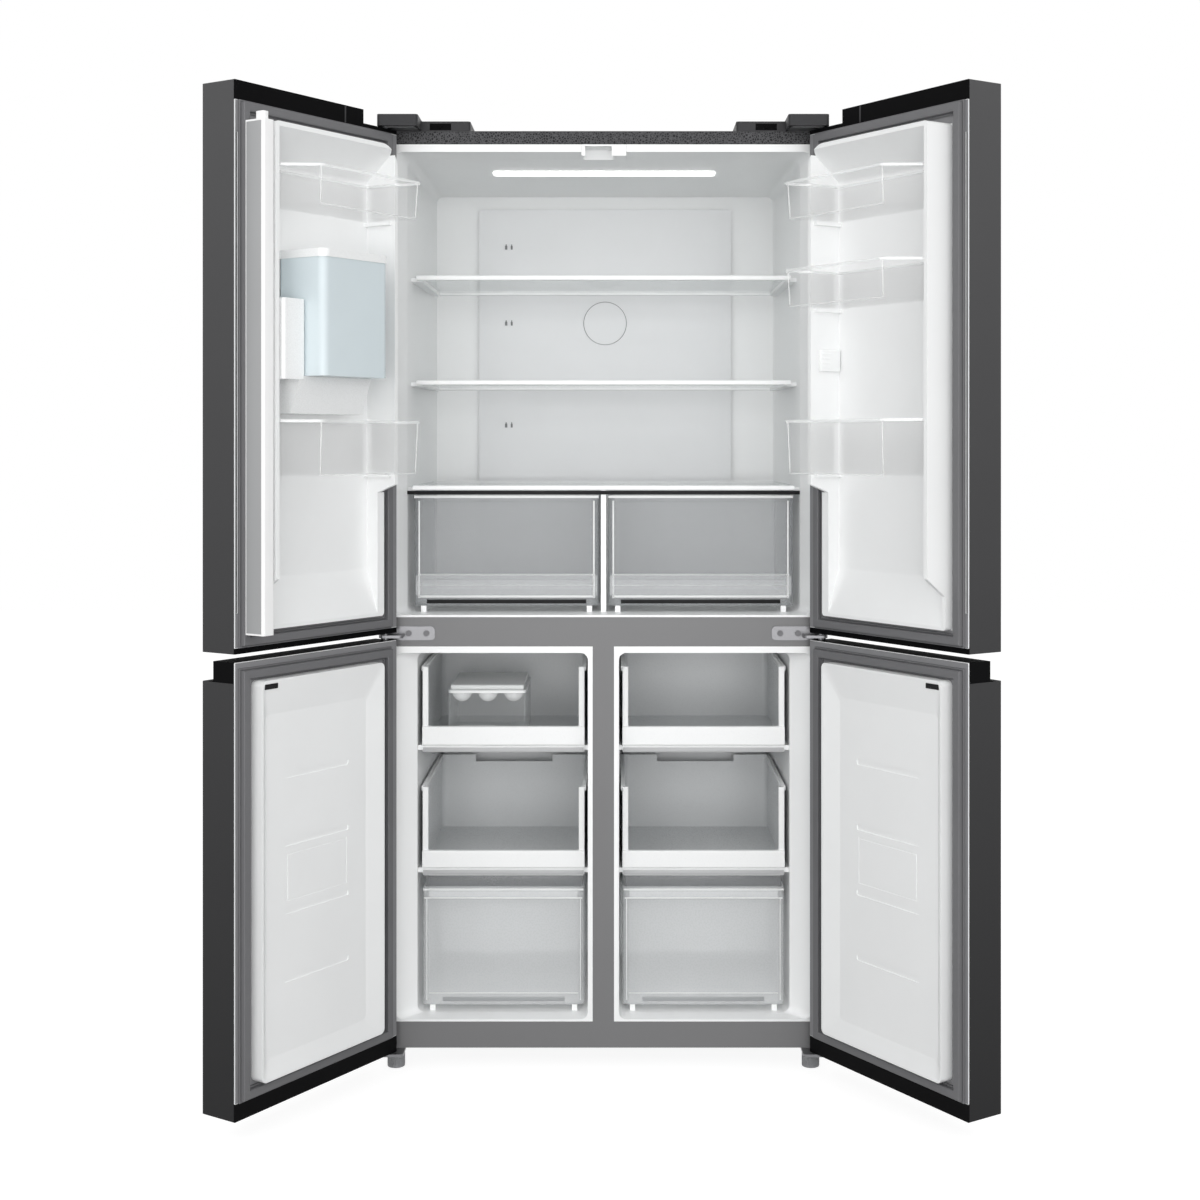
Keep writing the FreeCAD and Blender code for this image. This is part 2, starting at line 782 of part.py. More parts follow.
# Freezer liners with drawer ledges, built on the right and mirrored
freezer_sections = [
    (0, freezer_inner, half_opening, freezer_floor, freezer_ceiling),
    (freezer_jamb_depth, freezer_inner + 2 * fit, half_opening - freezer_jamb_inset,
     freezer_floor + freezer_floor_rise / 2, freezer_ceiling - freezer_floor_rise / 2),
    (freezer_depth, freezer_back_left, freezer_back_right,
     freezer_floor + freezer_floor_rise, freezer_ceiling - freezer_floor_rise)]
freezer_outer = cavity(freezer_sections, liner_wall).cut(
    block(0, half_width, hump_front + liner_wall, cabinet_depth, 0, hump_height - liner_wall))
freezer_inner_space = cavity(freezer_sections, 0).cut(
    block(0, half_width, hump_front, cabinet_depth, 0, hump_height))
drawer_back = drawer_front + drawer_length
freezer_ledges = []
for bottom in (drawer_levels["upper"][0], drawer_levels["middle"][0]):
    for x0, x1 in ((0, drawer_inner + drawer_ledge_reach), (drawer_outer - drawer_ledge_reach, half_width)):
        ledge = block(x0, x1, drawer_front, drawer_back, bottom - fit - drawer_ledge_height, bottom - fit)
        freezer_ledges.append(ledge.common(freezer_outer))
for x in (drawer_inner + tray_round, drawer_outer - tray_round - rib_width):
    floor_rib = block(x, x + rib_width, drawer_front, drawer_back, 0, lower_drawer[0] - fit)
    freezer_ledges.append(floor_rib.common(freezer_outer))
freezer_lip_plate = block(post_half, half_opening, 0, liner_wall, rail_top, beam_bottom)
freezer_flange = block(post_half, flange_side, sheet, sheet + liner_wall, rail_top, beam_bottom)
freezer_liner = joined([freezer_outer, freezer_lip_plate, freezer_flange]).cut(freezer_inner_space)
freezer_liner = joined([freezer_liner] + freezer_ledges)
post_room = block(0, post_half, 0, post_back, rail_top, beam_bottom)
freezer_liner = freezer_liner.cut(post_room).cut(fold_room[1])
nodes["freezer_liners"] = [mirrored(freezer_liner), freezer_liner]


# Freezer duct covers stand across the back of each compartment, with an air slot
def duct_panel():
    x0 = freezer_back_left + freezer_duct_margin
    x1 = freezer_back_right - freezer_duct_margin
    panel = block(x0, x1, freezer_duct_y, freezer_duct_y + freezer_duct_wall,
                  hump_height, freezer_ceiling - freezer_floor_rise)
    middle = (x0 + x1) / 2
    slot_z = freezer_ceiling - freezer_floor_rise - slot_drop
    slot = block(middle - slot_width / 2, middle + slot_width / 2, freezer_duct_y - fit,
                 freezer_duct_y + freezer_duct_wall + fit, slot_z, slot_z + slot_height)
    return rounded(panel, corner_round, along_y).cut(slot)


motor_end = freezer_duct_y + freezer_duct_wall + fan_motor_depth
fan_motor = Part.makeCylinder(fan_motor_radius, fan_motor_depth + freezer_duct_wall / 2,
                              V(fan_x, motor_end, fan_z), V(0, -1, 0))
fan_shaft = Part.makeCylinder(fan_shaft_radius, fan_depth + 3 * fit,
                              V(fan_x, motor_end, fan_z), along_y)
nodes["freezer_duct_covers"] = [joined([mirrored(duct_panel()), fan_motor, fan_shaft]), duct_panel()]

# Evaporator: fins on a coil, with end plates that reach the liner's back wall
fin_y1 = freezer_depth
fin_y0 = fin_y1 - fin_depth
fin_pitch = (fin_right - fin_left - fin_thickness) / (fin_count - 1)
fins = [block(fin_left + i * fin_pitch, fin_left + i * fin_pitch + fin_thickness, fin_y0, fin_y1,
              fin_bottom, fin_top) for i in range(fin_count)]
coil_pitch = (fin_top - fin_bottom) / coil_rows
tubes = [Part.makeCylinder(coil_radius, fin_right - fin_left,
                           V(fin_left, (fin_y0 + fin_y1) / 2, fin_bottom + (i + 0.5) * coil_pitch), along_x)
         for i in range(coil_rows)]
nodes["evaporator"] = [joined(fins + tubes)]

# Evaporator fan on the motor's shaft
fan_y0 = motor_end + fit
hub = Part.makeCylinder(fan_hub_radius, fan_depth, V(fan_x, fan_y0, fan_z), along_y)
blades = []
for i in range(fan_blades):
    blade = block(fan_hub_radius - 2, fan_radius, -fan_depth / 2, fan_depth / 2,
                  -fan_blade_thickness / 2, fan_blade_thickness / 2)
    blade.rotate(V(0, 0, 0), along_x, fan_blade_pitch)
    blade.rotate(V(0, 0, 0), along_y, i * 360.0 / fan_blades)
    blade.translate(V(fan_x, fan_y0 + fan_depth / 2, fan_z))
    blades.append(blade)
fan_bore = Part.makeCylinder(fan_shaft_radius + fit, fan_depth + 2 * fit,
                             V(fan_x, fan_y0 - fit, fan_z), along_y)
nodes["evaporator_fan"] = [joined([hub] + blades).cut(fan_bore)]


# Freezer drawers, built on the right
def drawer_tray(z0, z1):
    return open_tray(drawer_inner, drawer_outer, drawer_front, drawer_back, z0, z1, tray_wall, tray_round)


def open_drawer(z0, lip_top, z1):
    """A tray with a low front lip between the side walls' front edges."""
    tray = drawer_tray(z0, z1)
    mouth = rounded(block(drawer_inner + drawer_band, drawer_outer - drawer_band, drawer_front - lip_depth,
                          drawer_front + tray_round, lip_top, z1 + tray_wall), mouth_round, along_y)
    middle = (drawer_inner + drawer_outer) / 2
    notch = block(middle - back_notch_width / 2, middle + back_notch_width / 2,
                  drawer_back - tray_wall - fit, drawer_back + fit, z1 - back_notch_depth, z1 + tray_wall)
    posts = []
    for x0, x1 in ((drawer_inner, drawer_inner + drawer_band), (drawer_outer - drawer_band, drawer_outer)):
        posts.append(rounded(block(x0, x1, drawer_front - grip_depth, drawer_front + tray_wall, z0, z1),
                             band_round, up))
    bar = rounded(block(drawer_inner, drawer_outer, drawer_front - lip_depth, drawer_front + tray_wall,
                        z0, lip_top), lip_round, along_x)
    grip = block(drawer_inner + fit, drawer_outer - fit, drawer_front - grip_depth, drawer_front,
                 z0 - grip_drop, z0 + tray_wall)
    return joined([tray.cut(mouth).cut(notch)] + posts + [bar, grip])


def shut_drawer(z0, z1):
    """A tray with a full front and a pull along its top."""
    tray = drawer_tray(z0, z1)
    x0, x1 = drawer_inner + tray_round, drawer_outer - tray_round
    y = drawer_front
    pull_bottom = z1 + pull_rise - pull_height
    profile = [(y + tray_wall, pull_bottom), (y - pull_depth, pull_bottom), (y - pull_depth, z1),
               (y - pull_depth + tray_wall, z1), (y - pull_depth + tray_wall, pull_bottom + tray_wall),
               (y, pull_bottom + tray_wall), (y, z1 + pull_rise), (y + tray_wall, z1 + pull_rise)]
    return joined([tray, prism_x(profile, x0, x1)])


for level, sizes in drawer_levels.items():
    nodes["freezer_drawer_%s_left" % level] = [mirrored(open_drawer(*sizes))]
    nodes["freezer_drawer_%s_right" % level] = [open_drawer(*sizes)]
nodes["freezer_drawer_lower_left"] = [mirrored(shut_drawer(*lower_drawer))]
nodes["freezer_drawer_lower_right"] = [shut_drawer(*lower_drawer)]

# Ice tray with cups and a lid, on its bin in the upper left freezer drawer
ice_floor = drawer_levels["upper"][0] + tray_wall + fit
ice_rim = ice_floor + tray_rim
ice_bin = open_tray(tray_x0, tray_x1, tray_y0, tray_y1, ice_floor, ice_rim, bin_wall, bin_round)
cup_plate = rounded(block(tray_x0, tray_x1, tray_y0, tray_y1, ice_rim, ice_rim + 2 * cup_wall),
                    bin_round, up)
cup_x = (tray_x1 - tray_x0 - 2 * bin_round) / cup_count
cup_y = (tray_y1 - tray_y0 - 2 * bin_round) / cup_rows
cups, hollows = [], []
for i in range(cup_count):
    for j in range(cup_rows):
        centre = V(tray_x0 + bin_round + (i + 0.5) * cup_x, tray_y0 + bin_round + (j + 0.5) * cup_y,
                   ice_rim + 2 * cup_wall)
        cups.append(Part.makeSphere(cup_radius, centre, V(0, 0, -1), 0, 90, 360))
        hollows.append(Part.makeSphere(cup_radius - cup_wall, centre))
ice_cups = joined([cup_plate] + cups)
for hollow in hollows:
    ice_cups = ice_cups.cut(hollow)
ice_lid = rounded(block(tray_x0, tray_x1, tray_y0, tray_y1, ice_rim + 2 * cup_wall,
                        ice_rim + 2 * cup_wall + ice_lid_height), bin_round, up)
nodes["ice_tray"] = [ice_bin, ice_cups, ice_lid]


# Hinge brackets, built on the left and mirrored
def top_hinge():
    z = cabinet_top
    side = -half_width + cover_wall + 2 * fit
    plate = block(side, side + top_hinge_width, pin_y - hinge_arm_reach,
                  top_hinge_length, z, z + hinge_plate)
    pin = rod(pin_radius, pin_x, pin_y, hinge_notch_floor - pin_engagement, z + hinge_plate / 2)
    return joined([rounded(plate, bracket_round, up), pin])


def middle_hinge():
    plate = block(-middle_plate_outer, -middle_plate_inner, -hinge_plate, 0, middle_plate_bottom,
                  middle_plate_bottom + middle_plate_height)
    plate = rounded(plate, bracket_round, along_y)
    arm = block(-half_width + fit, -middle_plate_outer + middle_arm_lap, pin_y - hinge_arm_reach, 0,
                middle_arm_bottom, middle_arm_bottom + hinge_arm)
    pin = rod(pin_radius, pin_x, pin_y, lower_door_top - pin_engagement, upper_door_bottom + pin_engagement)
    return joined([plate, rounded(arm, bracket_round, up), pin])


def bottom_hinge():
    z = cabinet_bottom
    plate = block(-half_width + fit, -half_width + bottom_plate_width, pin_y - hinge_arm_reach,
                  bottom_plate_length, z - hinge_arm, z)
    pin = rod(pin_radius, pin_x, pin_y, z - hinge_arm / 2, lower_door_bottom + pin_engagement)
    stem_hole = rod(foot_stem_radius + fit, -foot_x, foot_y, z - 2 * hinge_arm, z + hinge_arm)
    return joined([rounded(plate, bracket_round, up), pin]).cut(stem_hole)


brackets = [top_hinge(), middle_hinge(), bottom_hinge()]
nodes["hinge_brackets"] = brackets + [mirrored(bracket) for bracket in brackets]

# Screws of the middle brackets: heads on the plates, shanks through the beam
screws = []
screw_z = middle_plate_bottom + middle_plate_height / 2
screw_places = (middle_plate_inner + screw_inner_margin, middle_plate_outer - screw_outer_margin)
bracket_holes = []
for x in screw_places:
    for side in (-1, 1):
        head = Part.makeCylinder(screw_head_radius, screw_head_height,
                                 V(side * x, -hinge_plate - screw_head_height, screw_z), along_y)
        shank = Part.makeCylinder(screw_shank_radius, screw_shank_length + screw_head_height,
                                  V(side * x, -hinge_plate - screw_head_height, screw_z), along_y)
        screws.append(joined([head.makeFillet(screw_head_round, [head.Edges[0]]), shank]))
        bracket_holes.append(Part.makeCylinder(screw_shank_radius + fit, 2 * screw_shank_length,
                                               V(side * x, -screw_shank_length, screw_z), along_y))
nodes["hinge_screws"] = screws
for hole in bracket_holes:
    nodes["hinge_brackets"] = [bracket.cut(hole) for bracket in nodes["hinge_brackets"]]
    nodes["cross_beam"] = [nodes["cross_beam"][0].cut(hole)]


# Hinge covers: a block over the hinge and a lower run towards the middle
def hinge_cover():
    x0 = -half_width + fit
    z0 = cabinet_top
    z1 = upper_door_top
    head = rounded(block(x0, x0 + cover_block_width, -cover_overhang, cover_length, z0, z1),
                   cover_round, up)
    run = rounded(block(x0 + cover_block_width / 2, -cover_inner_end, 0, cover_length, z0,
                        z1 - cover_low_drop), cover_round, up)
    cover = joined([head, run])
    inside_head = block(x0 + cover_wall, x0 + cover_block_width - cover_wall, -cover_overhang + cover_wall,
                        cover_length - cover_wall, z0 - fit, z1 - cover_wall)
    inside_run = block(x0 + cover_wall, -cover_inner_end - cover_wall, cover_wall,
                       cover_length - cover_wall, z0 - fit, z1 - cover_low_drop - cover_wall)
    return cover.cut(inside_head).cut(inside_run)


nodes["hinge_covers"] = [hinge_cover(), mirrored(hinge_cover())]


# Front feet: a ribbed body on a stem that turns in the bottom bracket
def foot():
    body = rod(foot_radius, -foot_x, foot_y, 0, foot_height)
    body = body.makeFillet(foot_edge_round, [edge for edge in body.Edges if edge.Length > foot_radius * 6])
    for i in range(foot_ribs):
        angle = 2 * math.pi * i / foot_ribs
        body = body.cut(rod(foot_rib_radius, -foot_x + foot_radius * math.cos(angle),
                            foot_y + foot_radius * math.sin(angle), foot_rib_margin,
                            foot_height - foot_rib_margin))
    return joined([body, rod(foot_stem_radius, -foot_x, foot_y, foot_height / 2, cabinet_bottom - fit)])


nodes["front_foot_left"] = [foot()]
nodes["front_foot_right"] = [mirrored(foot())]

# Base pan with the ears that carry the rear rollers
axle_half = roller_width / 2 + fit + ear_thickness
base = block(-inside, inside, base_front, cabinet_depth - sheet, cabinet_bottom, cabinet_bottom + base_plate)
ears = []
for side in (-1, 1):
    for near in (roller_x - axle_half, roller_x + axle_half - ear_thickness):
        x0 = side * near if side > 0 else side * near - ear_thickness
        ears.append(block(x0, x0 + ear_thickness, roller_y - ear_half, roller_y + ear_half,
                          roller_radius - ear_half, cabinet_bottom))
pan = joined([base] + ears)
axle_hole = Part.makeCylinder(axle_radius + fit, cabinet_width, V(-half_width, roller_y, roller_radius),
                              along_x)
nodes["base_pan"] = [pan.cut(axle_hole)]


# Rear rollers: a wheel on a stub axle, left and right
def roller(x):
    wheel = Part.makeCylinder(roller_radius, roller_width, V(x - roller_width / 2, roller_y, roller_radius),
                              along_x)
    rims = [edge for edge in wheel.Edges if edge.Length > roller_radius * 6]
    wheel = wheel.makeFillet(roller_edge_round, rims)
    axle = Part.makeCylinder(axle_radius, 2 * axle_half, V(x - axle_half, roller_y, roller_radius), along_x)
    return joined([wheel, axle])


nodes["rear_rollers"] = [roller(-roller_x), roller(roller_x)]

# Machine room: louvred cover at the back, compressor on its feet
louvre = block(-inside, inside, cabinet_depth - base_plate, cabinet_depth,
               cabinet_bottom + base_plate, hump_height)
for i in range(cover_slots):
    x = (i - (cover_slots - 1) / 2) * cover_slot_pitch
    for row in range(cover_slot_rows):
        z = cabinet_bottom + cover_first_row + row * cover_row_pitch
        slot = block(x - cover_slot_width / 2, x + cover_slot_width / 2, cabinet_depth - 2 * base_plate,
                     cabinet_depth + base_plate, z, z + cover_slot_height)
        louvre = louvre.cut(slot)
nodes["machine_cover"] = [louvre]
nodes["base_pan"] = [nodes["base_pan"][0].cut(louvre)]


def pressure_shell(grow):
    radius = compressor_radius + grow
    body = rod(radius, compressor_x, compressor_y, shell_z - grow, shell_z + compressor_height + grow)
    rims = [edge for edge in body.Edges if edge.Length > radius * 6]
    return body.makeFillet(compressor_round + grow, rims)


shell_z = cabinet_bottom + base_plate + compressor_foot
compressor = pressure_shell(0).cut(pressure_shell(-compressor_wall))
foot_plate = block(compressor_x - compressor_radius, compressor_x + compressor_radius,
                   compressor_y - compressor_foot_half, compressor_y + compressor_foot_half,
                   cabinet_bottom + base_plate, shell_z + compressor_wall / 2)
nodes["compressor"] = [joined([compressor, rounded(foot_plate, compressor_foot_round, up)]).cut(
    pressure_shell(-compressor_wall))]


# Doors, built shut on the left
def door_skin(z0, z1):
    """A steel sheet bent round the front and both edges, with a hem on the hinge side."""
    outer = block(hinge_edge, free_edge, door_front, rim_back, z0, z1)
    front_edges = [edge for edge in straight_edges(outer, up) if edge.BoundBox.YMax < door_front + 1]
    outer = outer.makeFillet(door_round, front_edges)
    inner = block(hinge_edge + sheet, free_edge - sheet, door_front + sheet, rim_back - sheet, z0, z1)
    front_edges = [edge for edge in straight_edges(inner, up) if edge.BoundBox.YMax < door_front + 1]
    inner = inner.makeFillet(door_round - sheet, front_edges)
    mouth = block(hinge_edge + hem_width, free_edge - sheet, rim_back - sheet, rim_back, z0, z1)
    return outer.cut(inner).cut(mouth)


# The skins run the whole height, clear of the top hinges and of the lower doors' finger pulls
top_notch = block(hinge_edge - fit, hinge_edge + hinge_notch, door_front - fit, door_back + fit,
                  hinge_notch_floor, upper_door_top + fit)
upper_skin = door_skin(upper_door_bottom, upper_door_top).cut(top_notch)
lower_skin = door_skin(lower_door_bottom, pull_lip_top)


def hinge_hole(shape):
    return shape.cut(rod(pin_radius + fit, pin_x, pin_y, 0, 2 * cabinet_top))


def hollow_cap(z0, z1, back):
    """An end cap: a shallow plastic box, shut towards the outside of the door."""
    outer = block(hinge_edge, free_edge, door_front, back, z0, z1)
    front_edges = [edge for edge in straight_edges(outer, up) if edge.BoundBox.YMax < door_front + 1]
    return outer.makeFillet(door_round, front_edges)


def cap_pocket(z0, z1):
    """The hollow of an end cap, clear of its hinge end."""
    return block(hinge_edge + hinge_notch + cap_wall, free_edge - cap_wall, door_front + cap_wall,
                 rim_back - cap_wall, z0, z1)


def upper_caps():
    z0 = upper_door_top - upper_cap
    top = hollow_cap(z0, upper_door_top, door_back)
    top = top.cut(top_notch).cut(cap_pocket(z0, upper_door_top - cap_wall)).cut(upper_skin)
    base = hollow_cap(upper_door_bottom, upper_door_bottom + upper_base_cap, door_back).cut(upper_skin)
    return [hinge_hole(top), hinge_hole(base)]


def lower_caps():
    """The bottom cap, and the top cap whose front is the finger pull."""
    z1 = lower_door_bottom + lower_cap
    base = hollow_cap(lower_door_bottom, z1, door_back).cut(cap_pocket(lower_door_bottom + cap_wall, z1))
    base = base.cut(lower_skin)
    y_lip = door_front + pull_lip_wall
    y_rear = y_lip + pull_gap
    low = pull_floor - pull_floor_wall
    profile = [(door_front + sheet, low), (rim_back - sheet, low), (rim_back - sheet, lower_door_top),
               (y_rear, lower_door_top), (y_rear, pull_floor), (y_lip, pull_floor), (y_lip, pull_lip_top),
               (door_front + sheet, pull_lip_top)]
    top = prism_x(profile, hinge_edge + sheet, free_edge - sheet)
    front_edges = [edge for edge in straight_edges(top, up) if edge.BoundBox.YMax < door_front + 1]
    top = top.makeFillet(door_round - sheet, front_edges)
    top = top.cut(block(hinge_edge + hinge_notch, free_edge - sheet - cap_wall, y_rear + cap_wall,
                        rim_back - sheet - cap_wall, low - fit, lower_door_top - cap_wall))
    return [hinge_hole(base), hinge_hole(top)]


def gasket(z0, z1):
    """A magnetic seal: a foot on the door and a narrower bead that meets the cabinet."""
    foot_frame = ring(gasket_left, gasket_right, z0, z1, gasket_width, door_back, -gasket_bead)
    bead = ring(gasket_left + gasket_step, gasket_right - gasket_step, z0 + gasket_step, z1 - gasket_step,
                gasket_width - 2 * gasket_step, -gasket_bead, -fit)
    return joined([foot_frame, bead])


def bin_ledges(bins):
    """Short ribs on the recess walls, one pair under each bin."""
    ribs = []
    for bottom, _ in bins.values():
        z1 = bottom - fit
        z0 = z1 - bin_ledge_height
        for x0, x1 in ((recess_left - cap_wall, recess_left + bin_ledge),
                       (recess_right - bin_ledge, recess_right + cap_wall)):
            ribs.append(block(x0, x1, recess_floor, bin_ledge_front, z0, z1))
    return ribs


def upper_liner(bins):
    z0 = upper_door_bottom + upper_base_cap
    z1 = upper_door_top - upper_cap
    plate = block(hinge_edge + sheet, free_edge - sheet, rim_back, door_back, z0, z1)
    low = z0 + dyke_end_inset
    high = recess_top + dyke_wall
    profile = [(rim_back, low), (dyke_low_rise, low), (dyke_low_rise, dyke_low_top),
               (dyke_rise, dyke_high_bottom), (dyke_rise, high), (rim_back, high)]
    dyke = prism_x(profile, dyke_left, dyke_right)
    free_corners = [edge for edge in straight_edges(dyke, along_y) if edge.BoundBox.XMin > recess_right]
    dyke = dyke.makeFillet(dyke_small_round, free_corners)
    top_corner = [edge for edge in straight_edges(dyke, along_y)
                  if edge.BoundBox.ZMin > high - fit and edge.BoundBox.XMax < recess_left]
    dyke = dyke.makeFillet(dyke_round, top_corner)
    low_side = block(dyke_left - dyke_low_spread, recess_left, rim_back, dyke_low_rise, low, dyke_low_top)
    foot_corner = [edge for edge in straight_edges(low_side, along_y)
                   if edge.BoundBox.ZMax < low + fit and edge.BoundBox.XMax < dyke_left]
    low_side = low_side.makeFillet(dyke_small_round, foot_corner)
    free_profile = [(rim_back, free_wall_foot), (dyke_rise, free_wall_foot + free_wall_slope),
                    (dyke_rise, recess_top), (rim_back, recess_top)]
    free_wall = prism_x(free_profile, recess_right, dyke_right)
    pan = block(recess_left - pan_wall, recess_right + pan_wall, recess_floor - pan_wall, door_back,
                low + recess_base_border - pan_wall, recess_top + pan_wall)
    foot = low + recess_base_border
    over = dyke_rise + dyke_wall
    sink = [(recess_floor, foot + recess_base_slope), (recess_floor, recess_top - recess_top_slope),
            (dyke_rise, recess_top), (over, recess_top), (over, foot), (dyke_low_rise, foot)]
    recess = prism_x(sink, recess_left, recess_right)
    floor_edges = [edge for edge in straight_edges(recess, along_x)
                   if edge.BoundBox.YMax < recess_floor + fit]
    recess = recess.makeFillet(recess_round, floor_edges)
    channel = block(free_edge - sheet - groove_inset - groove_width - groove_wall, free_edge - sheet,
                    door_back - groove_depth - groove_wall, door_back, groove_bottom - groove_wall,
                    groove_top + groove_wall)
    groove = block(free_edge - sheet - groove_inset - groove_width, free_edge - sheet - groove_inset,
                   door_back - groove_depth, door_back + fit, groove_bottom, groove_top)
    body = joined([plate, dyke, low_side, pan, free_wall]).cut(recess)
    body = joined([body, channel]).cut(groove)
    return joined([body] + bin_ledges(bins))


def lower_liner():
    """A flange with a raised panel: its field sinks in slopes, with pressed bars and a bare frame."""
    z0 = lower_door_bottom + lower_cap
    plate = block(hinge_edge + sheet, free_edge - sheet, rim_back, door_back, z0, lower_door_top)
    low = z0 + panel_end_inset
    high = lower_door_top - panel_top_inset
    face = rounded(block(dyke_left, dyke_right, rim_back, panel_rise, low, high), panel_round, along_y)
    floor_y = panel_rise - panel_recess
    x0, x1 = dyke_left + panel_border, dyke_right - panel_border
    low, high = low + panel_border, high - panel_border
    floor_x0, floor_x1 = x0 + panel_hinge_slope, x1 - panel_free_slope
    floor_low, floor_high = low + panel_base_slope, high - panel_top_slope
    sink = Part.makeLoft([opening_wire(floor_x0, floor_x1, floor_low, floor_high, floor_y, panel_round),
                          opening_wire(x0, x1, low, high, panel_rise, panel_round)], True, True)
    hollow = block(floor_x0, floor_x1, rim_back - fit, floor_y - 2 * liner_wall, floor_low, floor_high)
    body = joined([plate, face]).cut(sink).cut(hollow)
    middle = (floor_x0 + floor_x1) / 2
    for z in emboss_heights:
        bar = block(middle - emboss_length / 2, middle + emboss_length / 2, floor_y - emboss_depth,
                    floor_y + emboss_depth, z - emboss_height / 2, z + emboss_height / 2)
        body = body.cut(rounded(bar, emboss_height / 3, along_y))
    frame_z = (emboss_heights[1] + emboss_heights[2]) / 2
    frame = ring(middle - frame_length / 2, middle + frame_length / 2, frame_z - frame_height / 2,
                 frame_z + frame_height / 2, frame_line, floor_y - frame_depth, floor_y + frame_depth)
    return body.cut(frame)


def door_bin(bottom, height):
    """A tray whose hinge end stands over the dyke and whose free end slants back to it."""
    y0 = recess_floor + bin_back_gap
    x0, x1 = recess_left + bin_side_gap, recess_right - bin_side_gap
    shoulder = dyke_rise + bin_dyke_gap
    near = x0 - bin_hinge_spread
    far = x1 - bin_free_slant
    outline = [(x0, y0), (x1, y0), (x1, bin_slant_front), (far, bin_reach), (near, bin_reach),
               (near, shoulder + bin_hinge_spread), (x0, shoulder)]
    outer = rounded(prism_z(outline, bottom, bottom + height), bin_round, up)
    inner = rounded(prism_z(inset(outline, bin_wall), bottom + bin_wall, bottom + height + bin_wall),
                    bin_round - bin_wall, up)
    rim = rounded(block(near + bin_round, far - bin_round, bin_reach - bin_wall, bin_reach + bin_wall,
                        bottom + height - rim_height / 2, bottom + height), bin_rim_round, along_x)
    return joined([outer.cut(inner), rim])


# Water tank on the hopper, with a lid that overhangs it
tank_back = recess_floor + tank_back_gap


def tank_block(grow, z0, z1):
    return rounded(block(tank_hinge_side - grow, tank_free_side + grow, tank_back - grow, tank_front + grow,
                         z0, z1), tank_round + grow, up)


def water_tank():
    return tank_block(0, tank_bottom, tank_top).cut(
        tank_block(-tank_wall, tank_bottom + tank_wall, tank_top + tank_wall))


def tank_lid():
    return tank_block(lid_overhang, tank_top, tank_top + lid_height).cut(
        tank_block(-tank_wall, tank_top - tank_wall, tank_top + lid_height - tank_wall))


# Dispenser: a niche in the door's front, a spout through the door, a hopper under the tank and a
# block beside it
housing_outer = block(housing_left, housing_right, door_front + sheet, housing_back, housing_bottom,
                      housing_top)
housing_recess = block(housing_left + housing_wall, housing_right - housing_wall,
                       door_front - 2 * bezel_proud, housing_back - housing_wall,
                       housing_bottom + housing_wall, housing_top - housing_wall)
housing_bezel = block(housing_left - bezel_width, housing_right + bezel_width, door_front - bezel_proud,
                      door_front, housing_bottom - bezel_width, housing_top + bezel_width)
housing_throat = block(housing_left, housing_right, door_front - bezel_proud, door_front + 2 * sheet,
                       housing_bottom, housing_top)
pivot_y = door_front + paddle_depth
pivot_z = housing_top - housing_wall - paddle_top_gap
paddle_x = (housing_left + housing_right) / 2


def hopper_prism(grow):
    """The tapered box under the tank, open to the door."""
    front = hopper_front + grow
    back = recess_floor + fit + grow
    profile = [(back, hopper_bottom - grow), (front - hopper_taper, hopper_bottom - grow),
               (front, hopper_top + grow), (back, hopper_top + grow)]
    return prism_x(profile, tank_hinge_side - grow, hopper_free_side + grow)


def side_block(grow):
    """The box beside the tank, open to the door."""
    body = block(block_left - grow, block_right + grow, recess_floor + fit + grow, block_front + grow,
                 hopper_top - block_drop - grow, block_top + grow)
    front_edges = [edge for edge in straight_edges(body, up)
                   if edge.BoundBox.YMin > block_front - block_round]
    return body.makeFillet(block_round + grow, front_edges)


def dispenser_housing():
    inner = joined([hopper_prism(0).cut(hopper_prism(-housing_wall)),
                    side_block(0).cut(side_block(-housing_wall))])
    spout = block(spout_left, spout_right, housing_back - housing_wall, hopper_front - hopper_taper,
                  hopper_bottom, hopper_bottom + spout_height)
    shell = joined([housing_outer, housing_throat, rounded(housing_bezel, bezel_round, along_y)])
    shell = shell.cut(housing_recess)
    pin = Part.makeCylinder(paddle_pin_radius, housing_right - housing_left,
                            V(housing_left, pivot_y, pivot_z), along_x)
    return joined([shell, inner, spout, pin])


def dispenser_paddle():
    eye = Part.makeCylinder(paddle_pin_radius + paddle_thickness, paddle_width,
                            V(paddle_x - paddle_width / 2, pivot_y, pivot_z), along_x)
    plate = rounded(block(paddle_x - paddle_width / 2, paddle_x + paddle_width / 2,
                          pivot_y - paddle_thickness / 2, pivot_y + paddle_thickness / 2,
                          pivot_z - paddle_length, pivot_z), paddle_round, along_y)
    bore = Part.makeCylinder(paddle_pin_radius + fit, paddle_width + 2 * fit,
                             V(paddle_x - paddle_width / 2 - fit, pivot_y, pivot_z), along_x)
    return joined([plate, eye]).cut(bore)


# Folding post: drawn folded, standing into the cabinet from the left upper door's free edge
flip_pivot_x = -flip_width / 2 + flip_pivot_edge
flip_pivot_y = flip_face_gap + flip_pivot_in


